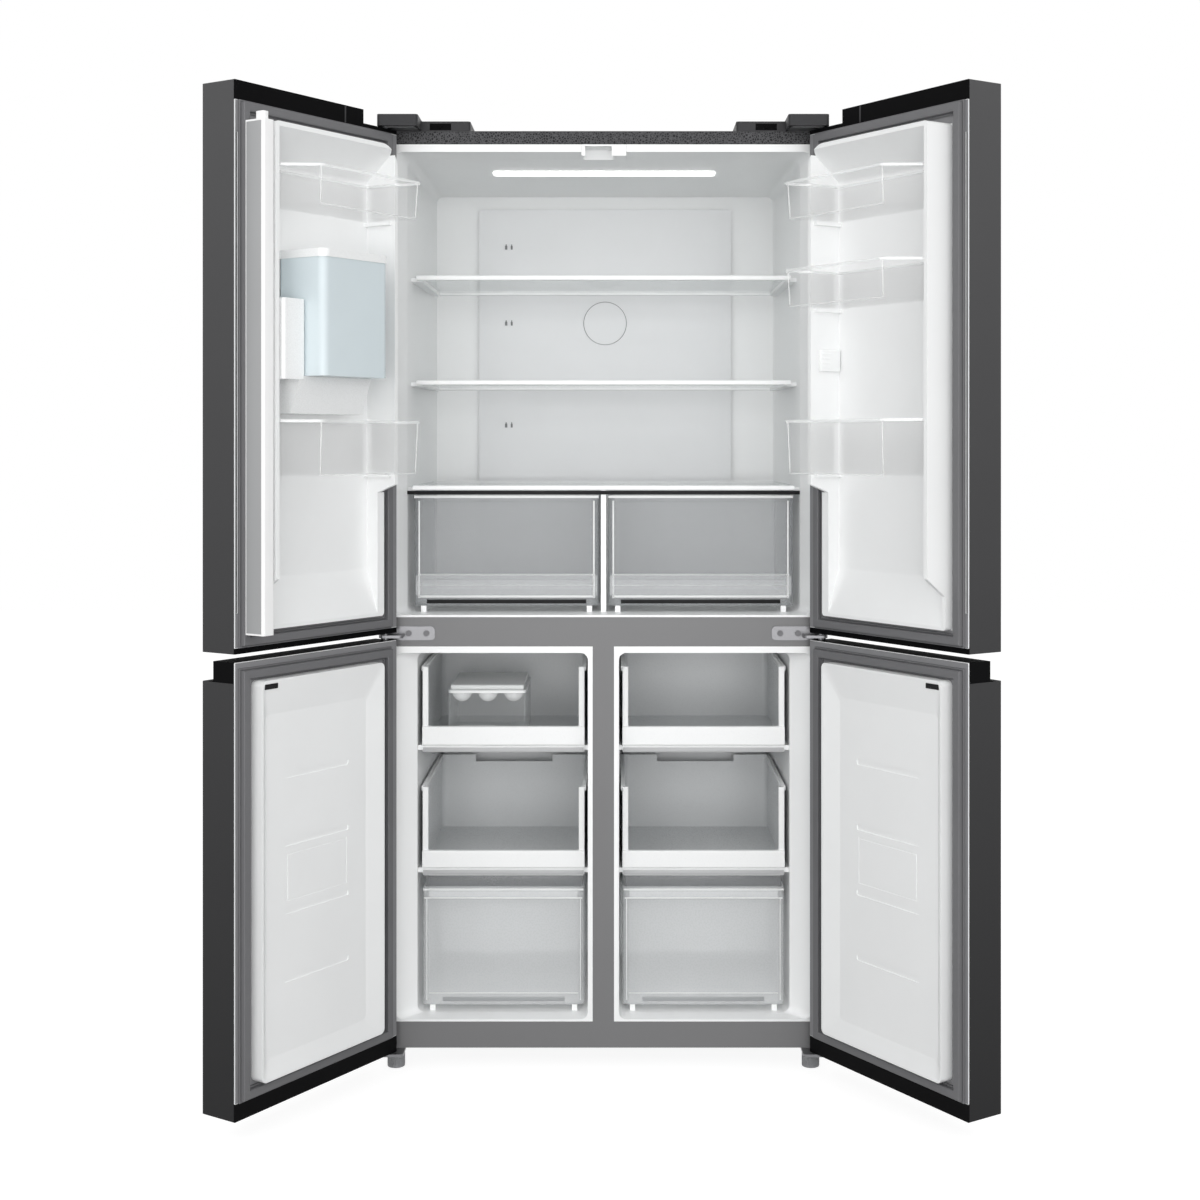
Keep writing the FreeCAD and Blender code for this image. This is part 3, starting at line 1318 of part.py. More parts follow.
def flip_mullion():
    x1 = flip_pivot_x + flip_pivot_in
    x0 = x1 - flip_thickness
    y0 = flip_pivot_y - flip_pivot_edge
    y1 = y0 + flip_width
    bar = rounded(block(x0, x1, y0, y1, flip_bottom, flip_top), flip_round, up)
    knob = rounded(block(x0 + (flip_thickness - knob_width) / 2, x0 + (flip_thickness + knob_width) / 2,
                         y0 + knob_offset - knob_length / 2, y0 + knob_offset + knob_length / 2,
                         flip_top - knob_round, flip_top + knob_height), knob_round, up)
    post = joined([bar, knob])
    for z in lug_heights:
        gap = block(x0 - fit, x1 - flip_skin, y0 - fit, flip_pivot_y + 2 * lug_half + fit, z - 2 * fit,
                    z + lug_height + 2 * fit)
        bore = rod(flip_pin_radius + fit, flip_pivot_x, flip_pivot_y, z - flip_pin_length - fit,
                   z + lug_height + flip_pin_length + fit)
        post = post.cut(gap).cut(bore)
    return post


def flip_lugs():
    """Lugs on the door's liner, with the pins that the folding post turns on."""
    lugs = []
    for z in lug_heights:
        arm = block(dyke_right - dyke_wall / 2, flip_pivot_x, flip_pivot_y - lug_half,
                    flip_pivot_y + lug_half, z, z + lug_height)
        tip = rod(lug_half, flip_pivot_x, flip_pivot_y, z, z + lug_height)
        pin = rod(flip_pin_radius, flip_pivot_x, flip_pivot_y, z - flip_pin_length,
                  z + lug_height + flip_pin_length)
        lugs.append(joined([arm, tip, pin]))
    return lugs


# Each door's pieces turn about its hinge pins to the open angle
def open_left(shape):
    shape = shape.copy()
    shape.rotate(V(pin_x, pin_y, 0), up, -door_open)
    return shape


def open_right(shape):
    shape = mirrored(shape)
    shape.rotate(V(-pin_x, pin_y, 0), up, door_open)
    return shape


upper_gasket = gasket(upper_door_bottom + gasket_end_margin, upper_door_top - upper_cap)
lower_gasket = gasket(lower_door_bottom + lower_cap, lower_door_top - gasket_end_margin)
niche_room = block(housing_left - fit, housing_right + fit, door_front - fit, housing_back + fit,
                   housing_bottom - fit, housing_top + fit)
spout_room = block(spout_left - fit, spout_right + fit, housing_back - fit, recess_floor + fit,
                   hopper_bottom - fit, hopper_bottom + spout_height + fit)
plain_door = {
    "upper_%s_door_skin": [upper_skin],
    "upper_%s_door_caps": upper_caps(),
    "upper_%s_door_gasket": [upper_gasket],
    "lower_%s_door_skin": [lower_skin],
    "lower_%s_door_caps": lower_caps(),
    "lower_%s_door_gasket": [lower_gasket],
    "lower_%s_door_liner": [lower_liner()],
}
for name, shapes in plain_door.items():
    nodes[name % "left"] = [open_left(shape) for shape in shapes]
    nodes[name % "right"] = [open_right(shape) for shape in shapes]
nodes["upper_left_door_skin"] = [open_left(upper_skin.cut(niche_room))]
left_liner = joined([upper_liner(left_bins).cut(spout_room)] + flip_lugs())
nodes["upper_left_door_liner"] = [open_left(left_liner)]
nodes["upper_right_door_liner"] = [open_right(upper_liner(right_bins))]
for level, sizes in left_bins.items():
    nodes["left_door_bin_%s" % level] = [open_left(door_bin(*sizes))]
for level, sizes in right_bins.items():
    nodes["right_door_bin_%s" % level] = [open_right(door_bin(*sizes))]
nodes["water_tank"] = [open_left(water_tank())]
nodes["tank_lid"] = [open_left(tank_lid())]
nodes["dispenser_housing"] = [open_left(dispenser_housing())]
nodes["dispenser_paddle"] = [open_left(dispenser_paddle())]
nodes["flip_mullion"] = [open_left(flip_mullion())]

# The base of the whole object is centred on the origin: the open doors reach furthest to the front
front_y = min(shape.optimalBoundingBox(False).YMin for name in nodes for shape in nodes[name]
              if "door" in name or name == "flip_mullion")
frame_shift = -(front_y + cabinet_depth) / 2

for name, shapes in nodes.items():
    for shape in shapes:
        shape.translate(V(0, frame_shift, 0))
    whole = Part.makeCompound(shapes) if len(shapes) > 1 else shapes[0]
    whole.exportStep("parts/%s.step" % name)
print("nodes", len(nodes), "shift", round(frame_shift, 3))
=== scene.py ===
import bmesh
import bpy
import json
import math
from mathutils import Matrix, Vector


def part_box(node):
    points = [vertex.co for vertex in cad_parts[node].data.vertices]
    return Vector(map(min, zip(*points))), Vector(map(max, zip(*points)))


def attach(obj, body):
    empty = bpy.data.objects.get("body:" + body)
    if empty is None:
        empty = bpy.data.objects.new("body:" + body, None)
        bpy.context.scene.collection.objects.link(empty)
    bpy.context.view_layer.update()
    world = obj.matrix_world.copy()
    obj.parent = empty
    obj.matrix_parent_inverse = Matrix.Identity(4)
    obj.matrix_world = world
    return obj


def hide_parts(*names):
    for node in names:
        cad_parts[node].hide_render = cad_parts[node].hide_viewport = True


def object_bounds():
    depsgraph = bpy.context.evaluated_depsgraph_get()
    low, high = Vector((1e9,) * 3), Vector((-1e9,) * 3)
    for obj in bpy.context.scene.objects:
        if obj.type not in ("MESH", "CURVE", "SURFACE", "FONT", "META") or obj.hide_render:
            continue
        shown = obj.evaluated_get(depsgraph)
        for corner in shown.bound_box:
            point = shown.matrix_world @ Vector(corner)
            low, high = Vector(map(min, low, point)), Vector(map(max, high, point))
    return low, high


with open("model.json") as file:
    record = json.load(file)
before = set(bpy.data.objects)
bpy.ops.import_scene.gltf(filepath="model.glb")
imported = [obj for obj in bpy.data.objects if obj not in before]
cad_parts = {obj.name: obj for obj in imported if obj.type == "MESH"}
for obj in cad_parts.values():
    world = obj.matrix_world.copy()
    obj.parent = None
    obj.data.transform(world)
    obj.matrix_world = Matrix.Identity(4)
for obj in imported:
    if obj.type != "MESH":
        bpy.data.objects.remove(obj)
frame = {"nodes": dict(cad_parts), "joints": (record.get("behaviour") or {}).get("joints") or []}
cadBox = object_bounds()
nodes = frame["nodes"]
scene = bpy.context.scene
mm = 0.001
hair = 1e-6  # points nearer than this count as one
print("frame:", len(nodes), "nodes")

# Places on the doors are given as on shut doors, with y counted from the cabinet's front plane
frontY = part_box("outer_shell")[0].y


def doorTurn(side):
    door = "upper_%s_door" % side
    hinge = next(joint for joint in frame["joints"] if joint["child"] == door)
    pin = Vector((hinge["pos_m"][0], hinge["pos_m"][1], 0))
    swing = Matrix.Rotation(math.radians(-hinge["range_deg"][0]), 4, Vector(hinge["axis"]))
    return Matrix.Translation(pin) @ swing @ Matrix.Translation(-pin)


def shutBox(node, side):
    back = doorTurn(side).inverted()
    points = [back @ v.co for v in nodes[node].data.vertices]
    lo = Vector(min(p[i] for p in points) for i in range(3))
    hi = Vector(max(p[i] for p in points) for i in range(3))
    if side == "right":
        lo.x, hi.x = -hi.x, -lo.x
    lo.y -= frontY
    hi.y -= frontY
    return lo, hi


def atFront(bm, side):
    # shapes are drawn on the left, and mirrored for the right
    bmesh.ops.translate(bm, verts=bm.verts, vec=(0, frontY, 0))
    if side == "right":
        bmesh.ops.scale(bm, verts=bm.verts, vec=(-1, 1, 1))
        bmesh.ops.reverse_faces(bm, faces=bm.faces)


def hang(bm, side):
    atFront(bm, side)
    bmesh.ops.transform(bm, matrix=doorTurn(side), verts=bm.verts)


# Modelling helpers
def rounded(bm, edges, radius, segments=3):
    bmesh.ops.bevel(bm, geom=list(edges), offset=radius, offset_type="OFFSET", affect="EDGES",
                    segments=segments, profile=0.5, material=-1, clamp_overlap=True)


def roundBox(bm, lo, hi, radius=0.3 * mm, segments=2, keep=None):
    made = bmesh.ops.create_cube(bm, size=1.0)["verts"]
    bmesh.ops.scale(bm, verts=made, vec=Vector(hi) - Vector(lo))
    bmesh.ops.translate(bm, verts=made, vec=(Vector(lo) + Vector(hi)) / 2)
    edges = {e for v in made for e in v.link_edges}
    if keep:
        edges = {e for e in edges if keep(e)}
    rounded(bm, edges, radius, segments)


def runsAlong(edge, axis):
    run = edge.verts[1].co - edge.verts[0].co
    return run.length > 0 and abs(run.normalized()[axis]) > 0.999


def upright(edge):
    return runsAlong(edge, 2)


def vertsOf(geom):
    return [v for v in geom if isinstance(v, bmesh.types.BMVert)]


def lifted(bm, faces, vec, keep=True):
    made = bmesh.ops.extrude_face_region(bm, geom=faces, use_keep_orig=keep)["geom"]
    bmesh.ops.translate(bm, verts=vertsOf(made), vec=vec)


def loopOf(bm, points):
    verts = [bm.verts.new(p) for p in points]
    return [bm.edges.new((a, b)) for a, b in zip(verts, verts[1:] + verts[:1])]


def boxOutline(lo, hi):
    return [(lo[0], lo[1]), (hi[0], lo[1]), (hi[0], hi[1]), (lo[0], hi[1])]


def trayOf(bm, outline, z0, z1, wall, corner, floorRound):
    # an open tray over any outline, with round corners and a round foot
    face = bm.faces.new([bm.verts.new((x, y, z0)) for x, y in outline])
    lifted(bm, [face], (0, 0, z1 - z0))
    bmesh.ops.recalc_face_normals(bm, faces=bm.faces)
    rounded(bm, [e for e in bm.edges if upright(e)], corner, segments=5)
    top = max(bm.faces, key=lambda f: f.calc_center_median().z)
    bmesh.ops.inset_region(bm, faces=[top], thickness=wall, use_even_offset=True)
    lifted(bm, [top], (0, 0, z0 + wall - z1), keep=False)
    if top.is_valid:
        bmesh.ops.delete(bm, geom=[top], context="FACES_ONLY")
    foot = [e for e in bm.edges if all(abs(v.co.z - z0) < hair for v in e.verts)]
    rounded(bm, foot, floorRound, segments=4)
    bmesh.ops.recalc_face_normals(bm, faces=bm.faces)


def scaled(pair):
    return [Vector(p) * mm for p in pair]


def shades(finish):
    # clear plastic and glass let the light through
    return finishLooks[finish].get("clear", (1.0, 1.0))[0] > 0.5


def meshObject(name, bm, material):
    mesh = bpy.data.meshes.new(name)
    bm.to_mesh(mesh)
    bm.free()
    mesh.materials.append(material)
    obj = bpy.data.objects.new(name, mesh)
    scene.collection.objects.link(obj)
    return obj


def piece(name, bm, finish, body, stands=(), sharp=35):
    obj = meshObject(name, bm, finishes[finish])
    obj.visible_shadow = shades(finish)
    obj.data.polygons.foreach_set("use_smooth", [True] * len(obj.data.polygons))
    obj.data.set_sharp_from_angle(angle=math.radians(sharp))
    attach(obj, body)
    if stands:
        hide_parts(*stands)


# Finishes: patches of colour, a fine grain in gloss and bump, and for clear ones how much they cover,
# seen straight on and at a slant
surfaceLook = {"patch": 6.0, "noiseSpan": (0.3, 0.7), "speckSpan": (0.02, 0.22), "glossSwing": 0.05,
               "smoothest": 0.02, "planeBlur": 0.1 * mm, "slantBlend": 0.35}


def linear(code):
    parts = [int(code[i:i + 2], 16) / 255 for i in (0, 2, 4)]
    return [c / 12.92 if c < 0.04045 else ((c + 0.055) / 1.055) ** 2.4 for c in parts] + [1.0]


def shaded(color, factor):
    return [min(1.0, c * factor) for c in color[:3]] + [1.0]


def surface(name, look):
    mat = bpy.data.materials.new(name)
    mat.use_nodes = True
    tree = mat.node_tree
    shader = tree.nodes["Principled BSDF"]
    coord = tree.nodes.new("ShaderNodeTexCoord")
    color = linear(look["color"])

    def noise(scale, detail, stretch=None):
        made = tree.nodes.new("ShaderNodeTexNoise")
        made.inputs["Scale"].default_value = scale
        made.inputs["Detail"].default_value = detail
        source = coord.outputs["Object"]
        if stretch:
            mapping = tree.nodes.new("ShaderNodeMapping")
            mapping.inputs["Scale"].default_value = stretch
            tree.links.new(source, mapping.inputs["Vector"])
            source = mapping.outputs["Vector"]
        tree.links.new(source, made.inputs["Vector"])
        return made.outputs["Fac"]

    def ramped(source, low, high, span):
        ramp = tree.nodes.new("ShaderNodeValToRGB")
        for stop, position, shade in zip(ramp.color_ramp.elements, span, (low, high)):
            stop.position = position
            stop.color = shade
        tree.links.new(source, ramp.inputs["Fac"])
        return ramp.outputs["Color"]

    def mapped(source, fromSpan, toSpan):
        made = tree.nodes.new("ShaderNodeMapRange")
        made.inputs["From Min"].default_value, made.inputs["From Max"].default_value = fromSpan
        made.inputs["To Min"].default_value, made.inputs["To Max"].default_value = toSpan
        tree.links.new(source, made.inputs["Value"])
        return made.outputs["Result"]

    grain = noise(look["grain"], 2.0, look.get("stretch"))
    height = grain
    if "speckle" in look:
        scale, light = look["speckle"]
        speck = tree.nodes.new("ShaderNodeTexVoronoi")
        speck.feature = "DISTANCE_TO_EDGE"
        speck.inputs["Scale"].default_value = scale
        tree.links.new(coord.outputs["Object"], speck.inputs["Vector"])
        height = speck.outputs["Distance"]
        tint = ramped(height, linear(light), color, surfaceLook["speckSpan"])
    else:
        vary = look["vary"]
        tint = ramped(noise(surfaceLook["patch"], 3.0), shaded(color, 1 - vary),
                      shaded(color, 1 + vary), surfaceLook["noiseSpan"])
    if "front" in look or "low" in look:
        parts = tree.nodes.new("ShaderNodeSeparateXYZ")
        tree.links.new(coord.outputs["Object"], parts.inputs["Vector"])
        if "front" in look:
            # another shade in front of a plane across the cabinet
            plane, shade = look["front"]
            blur = surfaceLook["planeBlur"]
            share = mapped(parts.outputs["Y"], (plane + blur, plane - blur), (0.0, 1.0))
        else:
            # painted shade: darker towards the floor, for the light falling off lower down
            shade = look["low"]
            share = mapped(parts.outputs["Z"], (cadBox[1].z, cadBox[0].z), (0.0, 1.0))
        blend = tree.nodes.new("ShaderNodeMix")
        blend.data_type = "RGBA"
        tree.links.new(share, blend.inputs["Factor"])
        tree.links.new(tint, blend.inputs["A"])
        blend.inputs["B"].default_value = linear(shade)
        tint = blend.outputs["Result"]
    tree.links.new(tint, shader.inputs["Base Color"])
    swing = surfaceLook["glossSwing"]
    glossSpan = (max(surfaceLook["smoothest"], look["rough"] - swing), look["rough"] + swing)
    tree.links.new(mapped(grain, surfaceLook["noiseSpan"], glossSpan), shader.inputs["Roughness"])
    bump = tree.nodes.new("ShaderNodeBump")
    bump.inputs["Strength"].default_value = look["bump"]
    bump.inputs["Distance"].default_value = look["depth"] * mm
    tree.links.new(height, bump.inputs["Height"])
    tree.links.new(bump.outputs["Normal"], shader.inputs["Normal"])
    shader.inputs["Metallic"].default_value = look.get("metal", 0.0)
    shader.inputs["Specular IOR Level"].default_value = look.get("specular", 0.5)
    if "clear" in look:
        weight = tree.nodes.new("ShaderNodeLayerWeight")
        weight.inputs["Blend"].default_value = surfaceLook["slantBlend"]
        cover = mapped(weight.outputs["Facing"], (0.0, 1.0), look["clear"])
        tree.links.new(cover, shader.inputs["Alpha"])
    if "glow" in look:
        shader.inputs["Emission Color"].default_value = color
        shader.inputs["Emission Strength"].default_value = look["glow"]
    return mat


frontFrame = 10.6 * mm  # depth of the open drawers' white front frames
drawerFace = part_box("freezer_drawer_upper_left")[0].y + frontFrame
finishLooks = {
    # the door paint carries painted shade that darkens towards the floor
    "doorPaintAndShade": dict(color="535354", rough=0.5, specular=0.12, vary=0.02, grain=1400, bump=0.1,
                      depth=0.02, low="242425"),
    "shellPaint": dict(color="39393a", rough=0.45, vary=0.03, grain=1200, bump=0.12, depth=0.02),
    "capBlack": dict(color="070708", rough=0.62, specular=0.05, vary=0.06, grain=1500, bump=0.2,
                     depth=0.03),
    "coverGrey": dict(color="2e2e30", rough=0.55, specular=0.3, vary=0.06, grain=1800, bump=0.3,
                      depth=0.05),
    "framePaint": dict(color="717172", rough=0.4, vary=0.015, grain=1200, bump=0.1, depth=0.02),
    "trimLeather": dict(color="1b1b1d", rough=0.5, specular=0.2, grain=900, bump=0.6, depth=0.25,
                        speckle=(230.0, "545456")),
    "backSheet": dict(color="a9acae", rough=0.55, vary=0.04, grain=700, bump=0.15, depth=0.03,
                      metal=0.4),
    "linerWhite": dict(color="f9fafa", rough=0.33, vary=0.012, grain=260, bump=0.06, depth=0.05),
    "doorWhite": dict(color="f5f6f6", rough=0.34, vary=0.012, grain=260, bump=0.06, depth=0.05),
    "ductWhite": dict(color="ecedee", rough=0.42, vary=0.012, grain=1600, bump=0.12, depth=0.03),
    "sealGrey": dict(color="69696b", rough=0.6, vary=0.03, grain=1200, bump=0.15, depth=0.03),
    "flangeGrey": dict(color="828284", rough=0.55, vary=0.03, grain=1200, bump=0.12, depth=0.03),
    "postWhite": dict(color="f8f8f8", rough=0.35, vary=0.012, grain=300, bump=0.06, depth=0.05),
    "postPlate": dict(color="a2a3a4", rough=0.4, vary=0.02, grain=300, stretch=(8, 8, 0.15), bump=0.1,
                      depth=0.02, metal=0.15),
    "glowLens": dict(color="fdfdfb", rough=0.4, vary=0.01, grain=900, bump=0.1, depth=0.02, glow=1.6),
    "hingeSteel": dict(color="7b7b7d", rough=0.36, vary=0.06, grain=700, bump=0.15, depth=0.03,
                       metal=0.75),
    "screwSteel": dict(color="68686a", rough=0.5, vary=0.06, grain=700, bump=0.15, depth=0.03,
                       metal=0.4),
    "shelfPane": dict(color="e2eaea", rough=0.05, vary=0.02, grain=300, bump=0.02, depth=0.02,
                      clear=(0.08, 0.5), specular=0.6),
    "shelfWhite": dict(color="fafbfb", rough=0.22, vary=0.01, grain=700, bump=0.05, depth=0.02),
    "drawerShell": dict(color="dcdedf", rough=0.3, vary=0.012, grain=700, bump=0.08, depth=0.03,
                        front=(drawerFace, "f4f5f5")),
    "drawerClear": dict(color="eef0f1", rough=0.28, vary=0.012, grain=300, bump=0.01, depth=0.01,
                        clear=(0.3, 0.65)),
    "crisperClear": dict(color="aaadaf", rough=0.3, vary=0.012, grain=300, bump=0.01, depth=0.01,
                         clear=(0.3, 0.65)),
    # white lines on the drawer fronts: moulded lips and ridges, partly painted highlight on ridges, pull
    # edges and corners
    "whiteLinesAndHighlights": dict(color="fbfcfc", rough=0.2, vary=0.01, grain=700, bump=0.04, depth=0.02,
                      clear=(0.75, 0.95)),
    "bandClear": dict(color="e6e8e9", rough=0.35, vary=0.012, grain=300, bump=0.01, depth=0.01,
                      clear=(0.25, 0.6)),
    "pullShade": dict(color="86888a", rough=0.25, vary=0.02, grain=500, bump=0.05, depth=0.03,
                      clear=(0.55, 0.8)),
    # painted shade: the grey strip under the open drawers' front lips
    "paintedLipShade": dict(color="b4b5b6", rough=0.35, vary=0.02, grain=700, bump=0.05, depth=0.02),
    # painted shade: the grey band at the foot of the freezer drawers' fronts
    "gripGrey": dict(color="9a9c9e", rough=0.4, vary=0.03, grain=900, bump=0.05, depth=0.02),
    "binClear": dict(color="fbfcfc", rough=0.08, vary=0.02, grain=500, bump=0.04, depth=0.03,
                     clear=(0.01, 0.04)),
    # rim, corners and foot line of the bins: partly painted highlight on the clear plastic's edges
    "binRimAndHighlights": dict(color="fbfcfc", rough=0.12, vary=0.01, grain=600, bump=0.05, depth=0.03,
                   clear=(0.5, 0.9)),
    "tankBlue": dict(color="e2edf1", rough=0.22, vary=0.02, grain=500, bump=0.06, depth=0.03,
                     clear=(0.86, 0.96)),
    "tankWhite": dict(color="f6f7f7", rough=0.28, vary=0.01, grain=600, bump=0.06, depth=0.03),
    "iceClear": dict(color="e8ebec", rough=0.14, vary=0.02, grain=500, bump=0.05, depth=0.03,
                     clear=(0.05, 0.5)),
    "iceWhite": dict(color="fafbfb", rough=0.25, vary=0.02, grain=500, bump=0.05, depth=0.03),
    "iceLid": dict(color="f1f3f3", rough=0.2, vary=0.02, grain=500, bump=0.05, depth=0.03,
                   clear=(0.85, 0.95)),
    "markGrey": dict(color="7b7c7e", rough=0.5, vary=0.04, grain=900, bump=0.05, depth=0.02),
    # near-black for the panel clips, and painted shade in the door grooves, under the crisper glass and
    # at the crispers' feet
    "darkPartsAndShade": dict(color="161617", rough=0.6, specular=0.2, vary=0.08, grain=900, bump=0.05,
                     depth=0.02),
    "paddleGrey": dict(color="8c8d8f", rough=0.45, vary=0.03, grain=1200, bump=0.15, depth=0.03),
    "finMetal": dict(color="c3c5c7", rough=0.32, vary=0.05, grain=400, stretch=(6, 6, 0.2), bump=0.1,
                     depth=0.02, metal=1.0),
    "fanPlastic": dict(color="2c2d2f", rough=0.5, vary=0.05, grain=1200, bump=0.15, depth=0.03),
    "compressorPaint": dict(color="232324", rough=0.35, vary=0.08, grain=300, bump=0.2, depth=0.08),
    "footPlastic": dict(color="8b8c8e", rough=0.5, vary=0.05, grain=1200, bump=0.2, depth=0.04),
    "rollerPlastic": dict(color="b9babb", rough=0.5, vary=0.05, grain=1200, bump=0.2, depth=0.04),
}
finishes = {name: surface(name, look) for name, look in finishLooks.items()}
print("finishes:", len(finishes))

# Finishes of the CAD nodes; the door bins take the clear one
nodeFinishes = {
    "outer_shell": "shellPaint", "rear_panel": "backSheet", "base_pan": "backSheet",
    "machine_cover": "backSheet", "top_trim": "trimLeather", "cross_beam": "framePaint",
    "freezer_mullion": "framePaint", "bottom_rail": "framePaint", "fridge_liner": "linerWhite",
    "freezer_liners": "linerWhite", "mullion_guide": "linerWhite", "fridge_duct_cover": "ductWhite",
    "freezer_duct_covers": "ductWhite", "ceiling_lamp": "glowLens", "evaporator": "finMetal",
    "evaporator_fan": "fanPlastic", "compressor": "compressorPaint", "hinge_brackets": "hingeSteel",
    "hinge_covers": "coverGrey", "hinge_screws": "screwSteel", "shelf_glass": "shelfPane",
    "shelf_frames": "shelfWhite", "ice_tray": "iceClear", "rear_rollers": "rollerPlastic",
    "water_tank": "tankBlue", "tank_lid": "tankWhite", "dispenser_housing": "tankWhite",
    "dispenser_paddle": "paddleGrey", "flip_mullion": "postWhite",
}
for side in ("left", "right"):
    for level in ("upper", "lower"):
        door = "%s_%s_door_" % (level, side)
        nodeFinishes[door + "skin"] = "doorPaintAndShade"
        nodeFinishes[door + "caps"] = "capBlack"
        nodeFinishes[door + "liner"] = "doorWhite"
        nodeFinishes[door + "gasket"] = "sealGrey"
    for level, finish in (("upper", "drawerShell"), ("middle", "drawerShell"), ("lower", "drawerClear")):
        nodeFinishes["freezer_drawer_%s_%s" % (level, side)] = finish
    nodeFinishes["crisper_" + side] = "crisperClear"
    nodeFinishes["front_foot_" + side] = "footPlastic"
for name, obj in nodes.items():
    finish = nodeFinishes.get(name, "binClear")
    obj.visible_shadow = shades(finish)
    for place in obj.material_slots:
        place.material = finishes[finish]
    if not obj.material_slots:
        obj.data.materials.append(finishes[finish])
print("node finishes set")

# Door seals: a foot, a bellows groove and a magnet bead, as steps inwards and up to the middle, in mm
sealLook = {"width": 22.0 * mm,
            "half": [(0, 0.5), (0, 3.4), (0.5, 4.0), (2.4, 4.2), (2.9, 3.0), (3.6, 3.0), (3.9, 10.3),
                     (4.9, 11.4), (8.0, 11.7)]}


def doorSeal(level, side):
    door = "%s_%s_door" % (level, side)
    lo, hi = shutBox(door + "_gasket", side)
    steps = [(inset * mm, rise * mm) for inset, rise in sealLook["half"]]
    steps += [(sealLook["width"] - inset, rise) for inset, rise in reversed(steps)]
    middle = (lo + hi) / 2
    start = lo.y + steps[0][1]
    bm = bmesh.new()
    edges = loopOf(bm, [(x, start, z) for x, z in boxOutline((lo.x, lo.z), (hi.x, hi.z))])
    for inset, rise in steps[1:] + steps[:1]:
        made = bmesh.ops.extrude_edge_only(bm, edges=edges)["geom"]
        ends = set(vertsOf(made))
        edges = [e for e in made if isinstance(e, bmesh.types.BMEdge) and ends.issuperset(e.verts)]
        for v in ends:
            v.co.x = lo.x + inset if v.co.x < middle.x else hi.x - inset
            v.co.z = lo.z + inset if v.co.z < middle.z else hi.z - inset
            v.co.y = lo.y + rise
    bmesh.ops.remove_doubles(bm, verts=bm.verts, dist=hair)
    bmesh.ops.recalc_face_normals(bm, faces=bm.faces)
    hang(bm, side)
    piece(door + "_seal", bm, "sealGrey", door, [door + "_gasket"], sharp=28)


# Grey facing on the liner's flange, cut out round the raised white moulding, in mm, and on the upper
# doors round a finger groove, with a dark strip in it as painted shade
facingLook = {"groove": (-8.8 * mm, -4.6 * mm, 888.0 * mm, 1690.0 * mm), "grooveWall": 0.2 * mm,
              "grooveDepths": (3.0 * mm, 2.0 * mm), "freeEdge": -2.0 * mm, "edge": 0.8 * mm,
              "thick": 0.4 * mm, "arc": 42.0 * mm, "arcSteps": 8,
              "upper": {"left": -352.2, "lowLeft": -362.2, "right": -39.8, "low": 856.8,
                        "step": 1082.0, "high": 1709.2},
              "lower": {"left": -348.0, "right": -44.0, "low": 103.0, "high": 769.0}}


def mouldingOutline(level):
    place = {key: value * mm for key, value in facingLook[level].items()}
    corners = [(place["right"], place["low"]), (place["right"], place["high"])]
    if level == "lower":
        return corners + [(place["left"], place["high"]), (place["left"], place["low"])]
    radius, steps = facingLook["arc"], facingLook["arcSteps"]
    for i in range(steps + 1):
        angle = math.radians(90 + 90 * i / steps)
        corners.append((place["left"] + radius + radius * math.cos(angle),
                        place["high"] - radius + radius * math.sin(angle)))
    return corners + [(place["left"], place["step"]), (place["lowLeft"], place["step"]),
                      (place["lowLeft"], place["low"])]


def doorFacing(level, side):
    door = "%s_%s_door" % (level, side)
    skinLo = shutBox(door + "_skin", side)[0]
    linerLo, linerHi = shutBox(door + "_liner", side)
    y = shutBox(door + "_gasket", side)[0].y
    edge = facingLook["edge"]
    left, right, low, high = facingLook["groove"]
    outlines = [boxOutline((skinLo.x + edge, linerLo.z + edge),
                           (facingLook["freeEdge"] - edge, linerHi.z - edge)),
                mouldingOutline(level)]
    if level == "upper":
        outlines.append(boxOutline((left, low), (right, high)))
    bm = bmesh.new()
    edges = [e for outline in outlines for e in loopOf(bm, [(x, y, z) for x, z in outline])]
    bmesh.ops.triangle_fill(bm, edges=edges, use_beauty=True, use_dissolve=False)
    lifted(bm, bm.faces[:], (0, facingLook["thick"], 0))
    bmesh.ops.recalc_face_normals(bm, faces=bm.faces)
    hang(bm, side)
    piece(door + "_facing", bm, "flangeGrey", door)
    if level == "upper":
        # painted shade: a dark strip set inside the finger groove
        wall = facingLook["grooveWall"]
        deep, shallow = facingLook["grooveDepths"]
        bm = bmesh.new()
        roundBox(bm, (left + wall, y - deep, low + wall), (right - wall, y - shallow, high - wall), wall)
        hang(bm, side)
        piece(door + "_groove", bm, "darkPartsAndShade", door)


for level in ("upper", "lower"):
    for side in ("left", "right"):
        doorSeal(level, side)
        doorFacing(level, side)
print("door seals and facings made")

# Folding post: a grey face plate on the white moulding
postLook = {"plate": 0.4 * mm, "margin": 5.2 * mm, "ends": 3.0 * mm, "knob": 14.0 * mm}


def postPlate():
    lo, hi = shutBox("flip_mullion", "left")
    plate, margin, ends = postLook["plate"], postLook["margin"], postLook["ends"]
    bm = bmesh.new()
    roundBox(bm, (hi.x - plate, lo.y + margin, lo.z + ends),
             (hi.x + plate, hi.y - margin, hi.z - postLook["knob"] - ends))
    hang(bm, "left")
    piece("post_face", bm, "postPlate", "flip_mullion")


postPlate()
print("folding post made")

# Door bins: clear trays, flared at the hinge end and slanted at the free end, with a rim round the
# top, bright upright corners and a bright line along the foot; these white pieces are partly painted
# highlight for the bright edges of the clear plastic
binLook = {"wall": 2.0 * mm, "corner": 9.0 * mm, "floorRound": 6.0 * mm, "draft": 2.0 * mm,
           "flare": 13.0 * mm, "slant": 44.0 * mm, "slantFrom": 38.0 * mm, "shoulder": 47.0 * mm,
           "lip": 2.2 * mm, "rim": 4.5 * mm, "rimWall": 2.8 * mm, "rimProud": 0.1 * mm,
           "post": 1.6 * mm, "postEnds": 5.0 * mm, "postRound": 0.6 * mm,
           "footLine": (0.5 * mm, 2.5 * mm)}


